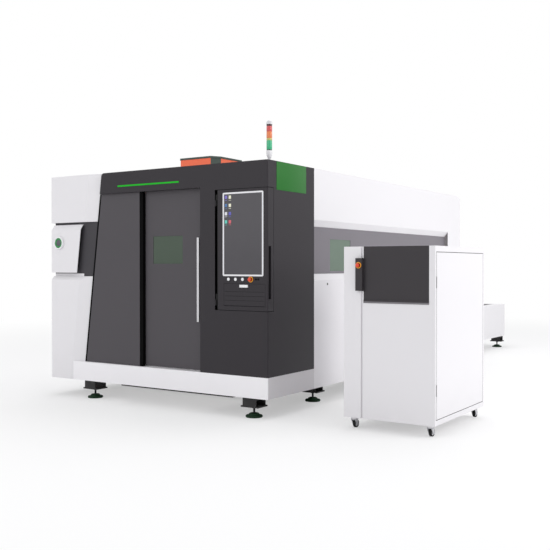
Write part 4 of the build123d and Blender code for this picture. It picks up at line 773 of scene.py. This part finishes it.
# %% Screen tiles
screen_low, screen_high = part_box("monitor_screen")
tile_width, tile_height = 25 * millimetre, 28 * millimetre
tile_columns, tile_rows = (20 * millimetre, 62 * millimetre), 4
row_pitch, first_row, tile_proud = 71 * millimetre, 26 * millimetre, 0.5 * millimetre
tile_edge, bar_height = 0.2 * millimetre, 3 * millimetre
tile_paints = [(124, 112, 196), (232, 232, 206), (66, 112, 168), (240, 238, 212),
               (226, 226, 232), (92, 90, 186), (96, 200, 184), (214, 92, 104)]
for row in range(tile_rows):
    for column, offset in enumerate(tile_columns):
        number = row * len(tile_columns) + column
        x = screen_low.x + offset
        z = screen_high.z - first_row - row * row_pitch
        data = bmesh.new()
        slab(data, (x - tile_width / 2, screen_low.y - tile_proud, z - tile_height / 2),
             (x + tile_width / 2, screen_low.y + tile_proud, z + tile_height / 2), tile_edge)
        slab(data, (x - tile_width / 2, screen_low.y - tile_proud, z - tile_height),
             (x + tile_width / 2, screen_low.y + tile_proud, z - tile_height + bar_height), tile_edge)
        new_piece("screen_tile_" + str(number + 1), data, "screen_glass", "console_door",
                  moulded("tile_" + str(number + 1), paint(*tile_paints[number]), 0.3))
print(tile_rows * len(tile_columns), "tiles")

# %% [markdown]
# Right of the stop button are two small round sockets. A black liner closes the grip slot from
# inside the door, so that the hand finds a wall. Three fine dark lines cross the keyboard flap;
# they ride on the flap and swing down with it.

# %% Sockets, liner and lines on the console
socket_height = middle_of("button_1").z + 1 * millimetre
socket_bore, socket_rim, socket_proud = 2.5 * millimetre, 9 * millimetre, 1.5 * millimetre
for index, from_corner in enumerate((120 * millimetre, 96 * millimetre)):
    data = bmesh.new()
    hoop(data, socket_bore, socket_rim, hair, socket_proud, (right - from_corner, front, socket_height),
         toward_front, 0.5 * millimetre, 24)
    new_piece("console_socket_" + str(index + 1), data, "black_trim", "console_door")
liner_low, liner_high = 1.016, 1.48
liner_left, liner_right = right - 25 * millimetre, right - 22.6 * millimetre
data = bmesh.new()
slab(data, (liner_left, front + 24 * millimetre, liner_low),
     (liner_right, front + 60 * millimetre, liner_high), 0.5 * millimetre)
new_piece("grip_liner", data, "black_trim", "console_door")
line_inset, line_width, line_pitch = 14 * millimetre, 1.8 * millimetre, 38 * millimetre
first_line = flap_high.z - 68 * millimetre
data = bmesh.new()
for row in range(3):
    line_low = first_line - row * line_pitch
    slab(data, (flap_low.x + line_inset, front - 0.3 * millimetre, line_low),
         (flap_high.x - line_inset, front + 0.5 * millimetre, line_low + line_width), 0.1 * millimetre)
new_piece("flap_lines", data, "black_trim", "keyboard_flap")
print("sockets, liner and lines placed")

# %% [markdown]
# A sliding door needs a soft edge where it runs past the fixed panel. The lip is a thin rubber
# strip between the door's edge and the panel's brush seal, and it slides with the door.

# %% Rubber lip on the sliding door
door_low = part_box("front_door")[0]
seal_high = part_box("panel_seals")[1]
lip_width, lip_end = 13 * millimetre, 10 * millimetre
lip_front, lip_back = seal_high.y + 1.2 * millimetre, seal_high.y + 4 * millimetre
data = bmesh.new()
slab(data, (door_low.x - lip_width, lip_front, door_low.z + lip_end),
     (door_low.x - hair, lip_back, seal_high.z - lip_end), 0.8 * millimetre)
new_piece("door_edge_lip", data, "black_trim", "front_door")
print("lip", round(seal_high.z - door_low.z, 2), "m long")

# %% [markdown]
# ## Plate and lock on the sides
# High on the side of the console column sits a thin bare green plate. A painted area would be
# flat; the plate is cut from sheet, so its face lies proud and its edge catches the light. The
# lower side wall has one quarter-turn lock.

# %% Green plate and side lock
plate_green = powder_coat("green_plate_coat", paint(38, 110, 41), 0.42, 0.03, 0.0, matt)
plate_from_front, plate_length = 0.134, 0.486
plate_low, plate_thickness = 1.955, 1.5 * millimetre
data = bmesh.new()
slab(data, (right + hair, front + plate_from_front, plate_low),
     (right + hair + plate_thickness, front + plate_from_front + plate_length, roof - 2 * millimetre),
     0.4 * millimetre)
new_piece("green_side_plate", data, "charcoal_paint", "machine", plate_green)
toward_right = (1, 0, 0)
lock_from_front, lock_height = 1.012, 1.134
lock_keyway, lock_radius, lock_proud = 4 * millimetre, 11 * millimetre, 3 * millimetre
data = bmesh.new()
hoop(data, lock_keyway, lock_radius, hair, lock_proud, (right, front + lock_from_front, lock_height),
     toward_right, 0.8 * millimetre, 32)
new_piece("side_lock", data, "black_paint", "machine")
print("plate", round(plate_length, 3), "m long")

# %% [markdown]
# ## Levelling feet
# Each foot is a broad green pad under a threaded stem with a jam nut. A bump map could fake the
# thread, but the stem shows against the light, so its grooves are turned into the mesh. The
# record gives the place of each pad on the floor, so one loop turns all twelve.

# %% Levelling feet
pad_places = [Vector(mount["pos_m"]) for mount in frame["record"]["mounts"]
              if mount["name"].startswith("foot_pad")]
pad_radius, pad_rim, pad_boss = 74 * millimetre, 18 * millimetre, 38 * millimetre
stem_radius, nut_radius, nut_height = 10 * millimetre, 19 * millimetre, 14 * millimetre
stem_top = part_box("levelling_feet")[1].z
thread_pitch, nut_edge = 4 * millimetre, 2 * millimetre
pads = bmesh.new()
stems = bmesh.new()
for place in pad_places:
    foot = Vector((place.x, place.y, 0))
    lathe(pads, [(pad_radius - 3 * millimetre, 0), (pad_radius, 3 * millimetre),
                 (pad_radius, pad_rim - 5 * millimetre), (pad_radius - 4 * millimetre, pad_rim),
                 (0.68 * pad_radius, pad_rim + 2 * millimetre),
                 (0.64 * pad_radius, pad_rim + 5 * millimetre),
                 (0.58 * pad_radius, 0.86 * pad_boss), (0.46 * pad_radius, 0.98 * pad_boss),
                 (0.2 * pad_radius, pad_boss)], foot, upward, 40)
    thread = [(stem_radius, pad_boss)]
    turns = int((stem_top - nut_height - pad_boss) / thread_pitch)
    for turn in range(turns):
        low = pad_boss + thread_pitch * turn
        thread += [(stem_radius, low + 1 * millimetre), (0.85 * stem_radius, low + 3 * millimetre)]
    thread.append((stem_radius, stem_top - nut_height))
    lathe(stems, thread, foot, upward, 24)
    nut_low = stem_top - nut_height
    lathe(stems, [(nut_radius * 0.92, nut_low), (nut_radius, nut_low + nut_edge),
                  (nut_radius, stem_top - nut_edge), (nut_radius * 0.92, stem_top)], foot, upward, 6)
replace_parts(new_piece("levelling_pads", pads, "pad_green", "machine"), "levelling_feet")
new_piece("levelling_stems", stems, "black_paint", "machine",
          ground_metal("blackened_stem", (0.10, 0.10, 0.11), 0.4, (1.0, 1.0, 1.0), 60.0))
print(len(pad_places), "feet")

# %% [markdown]
# ## Casters
# A caster wheel is a rubber tyre on a pale moulded hub with a boss round the axle. The tyre
# stands in for the flat-sided solid; tyre and hub ride on the wheel's body, so they roll and
# swivel with it.

# %% Caster wheels
hub_finish = moulded("caster_hub", paint(222, 221, 224), 0.4)
hub_bore, boss_bore, boss_radius = 7 * millimetre, 6.6 * millimetre, 11 * millimetre
for index in (1, 2, 3, 4):
    node = "caster_wheel_" + str(index)
    low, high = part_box(node)
    radius = (high.z - low.z) / 2
    half = (high.x - low.x) / 2
    centre = middle_of(node)
    data = bmesh.new()
    hoop(data, 0.76 * radius, radius, -half, half, centre, toward_right, 4 * millimetre, 48)
    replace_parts(new_piece("caster_tyre_" + str(index), data, "caster_tyre", node), node)
    data = bmesh.new()
    hoop(data, hub_bore, 0.755 * radius, -0.8 * half, 0.72 * half, centre, toward_right,
         2 * millimetre, 40)
    hoop(data, boss_bore, boss_radius, -0.98 * half, 0.98 * half, centre, toward_right,
         1 * millimetre, 24)
    new_piece("caster_hub_" + str(index), data, "caster_metal", node, hub_finish)
print("four wheels,", round(2 * radius / millimetre), "mm")

# %% [markdown]
# ## Slats
# Sheet metal rests on rows of toothed slats. The frame shows their places with a few large
# teeth; here every slat gets its real fine teeth, two dozen to the metre, cut from one outline.

# %% Toothed slats
slat_rows, slat_thickness, tooth_depth, tooth_pitch = 20, 5 * millimetre, 28 * millimetre, 42 * millimetre
comb_width, comb_top, end_land = 40 * millimetre, 42 * millimetre, 45 * millimetre
slat_foot, tip_start, tip_end = 6 * millimetre, 0.42, 0.58


def slat_bed(node, body):
    """Toothed slats let into two comb strips, in place of a node."""
    low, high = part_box(node)
    pitch = (high.y - low.y - slat_thickness) / (slat_rows - 1)
    teeth = int((high.x - low.x - 2 * end_land) / tooth_pitch)
    step = (high.x - low.x - 2 * end_land) / teeth
    shoulder = high.z - tooth_depth
    outline = [(low.x, low.z + slat_foot), (low.x, shoulder), (low.x + end_land, shoulder)]
    for tooth in range(teeth):
        foot = low.x + end_land + tooth * step
        outline += [(foot + tip_start * step, high.z), (foot + tip_end * step, high.z),
                    (foot + step, shoulder)]
    outline += [(high.x, shoulder), (high.x, low.z + slat_foot)]
    data = bmesh.new()
    for row in range(slat_rows):
        y = low.y + row * pitch
        near = [data.verts.new((x, y, z)) for x, z in outline]
        far = [data.verts.new((x, y + slat_thickness, z)) for x, z in outline]
        data.faces.new(near)
        data.faces.new(far[::-1])
        for index in range(len(outline)):
            after = (index + 1) % len(outline)
            data.faces.new((near[after], near[index], far[index], far[after]))
    for start in (low.x, high.x - comb_width):
        slab(data, (start, low.y, low.z), (start + comb_width, high.y, low.z + comb_top), 1 * millimetre)
    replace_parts(new_piece(node.replace("slats", "toothed_slats"), data, "slat_steel", body), node)
    return teeth


print("teeth per slat:", slat_bed("upper_slats", "upper_pallet"), slat_bed("lower_slats", "lower_pallet"))

# %% [markdown]
# ## Light, floor and backdrop
# A plain studio has a floor that runs into its backdrop without a line. A curved sweep could do
# that. Here the flat floor keeps the shadow near the machine, is lifted toward white for the
# camera, and turns wholly white with distance, so it meets the white behind it unseen.

# %% Floor
floor_size = 60.0
floor_data = bmesh.new()
bmesh.ops.create_grid(floor_data, x_segments=1, y_segments=1, size=floor_size / 2)
floor_mesh = bpy.data.meshes.new("studio_floor")
floor_data.to_mesh(floor_mesh)
floor_data.free()
floor = bpy.data.objects.new("studio_floor", floor_mesh)
floor.location = (0, 0, -0.5 * millimetre)
bpy.context.scene.collection.objects.link(floor)
floor_finish = bpy.data.materials.new("pale_floor")
floor_finish.use_nodes = True
floor_finish.node_tree.nodes.clear()
wire = Wire(floor_finish.node_tree)
floor_white = wire.node("ShaderNodeBsdfDiffuse", None, {"Color": (0.93, 0.925, 0.93, 1)})
white_glow = wire.node("ShaderNodeEmission", None, {"Color": (1, 1, 1, 1), "Strength": 1.0})
ray = wire.node("ShaderNodeLightPath", output="Is Camera Ray")
distance = wire.node("ShaderNodeVectorMath", {"operation": "LENGTH"}, {0: place_on_piece(wire)},
                     output="Value")
near_lift, fade_at = 0.42, 8.0
far = (near_lift + distance.above(fade_at, fade_at) * (1 - near_lift)) * ray
both = wire.node("ShaderNodeMixShader", None, {0: far, 1: floor_white, 2: white_glow})
wire.node("ShaderNodeOutputMaterial", None, {"Surface": both})
floor.data.materials.append(floor_finish)
print("floor", floor_size, "m square")

# %% [markdown]
# Even light from all round lets a colour show about as it is written, and three large soft
# lamps model the form. The camera, mirrors and panes see pure white; everything else gets the
# dimmer world, so the pale covers don't burn out.

# %% Lamps and world


def soft_lamp(name, place, aim, size, power):
    """Large square lamp aimed at a point."""
    lamp_data = bpy.data.lights.new(name, "AREA")
    lamp_data.shape = "SQUARE"
    lamp_data.size = size
    lamp_data.energy = power
    lamp = bpy.data.objects.new(name, lamp_data)
    lamp.location = place
    lamp.rotation_euler = (Vector(aim) - Vector(place)).to_track_quat("-Z", "Y").to_euler()
    bpy.context.scene.collection.objects.link(lamp)


middle_of_machine = (-0.7, -1.0, 1.0)
soft_lamp("lamp_right", (9.0, -1.0, 5.0), middle_of_machine, 6.0, 335)
soft_lamp("lamp_front", (-3.0, -11.0, 4.5), middle_of_machine, 6.0, 130)
soft_lamp("lamp_above", (-1.0, 0.0, 9.0), middle_of_machine, 8.0, 250)

world = bpy.data.worlds.new("studio")
bpy.context.scene.world = world
world.use_nodes = True
world.node_tree.nodes.clear()
wire = Wire(world.node_tree)
rays = wire.node("ShaderNodeLightPath")
seen = rays.socket.node.outputs
looking = Wire(world.node_tree, seen["Is Camera Ray"])
mirrored = Wire(world.node_tree, seen["Is Glossy Ray"])
passing = Wire(world.node_tree, seen["Is Transmission Ray"])
direct = wire.node("ShaderNodeMath", {"operation": "MAXIMUM"}, {0: looking, 1: passing})
direct = wire.node("ShaderNodeMath", {"operation": "MAXIMUM"}, {0: direct, 1: mirrored})
around = wire.node("ShaderNodeBackground", None, {"Color": (0.98, 0.99, 1.0, 1), "Strength": 0.74})
behind = wire.node("ShaderNodeBackground", None, {"Color": (1, 1, 1, 1), "Strength": 1.0})
both = wire.node("ShaderNodeMixShader", None, {0: direct, 1: around, 2: behind})
wire.node("ShaderNodeOutputWorld", None, {"Surface": both})
bpy.context.scene.view_settings.view_transform = "Standard"
print("three lamps and a pale world")
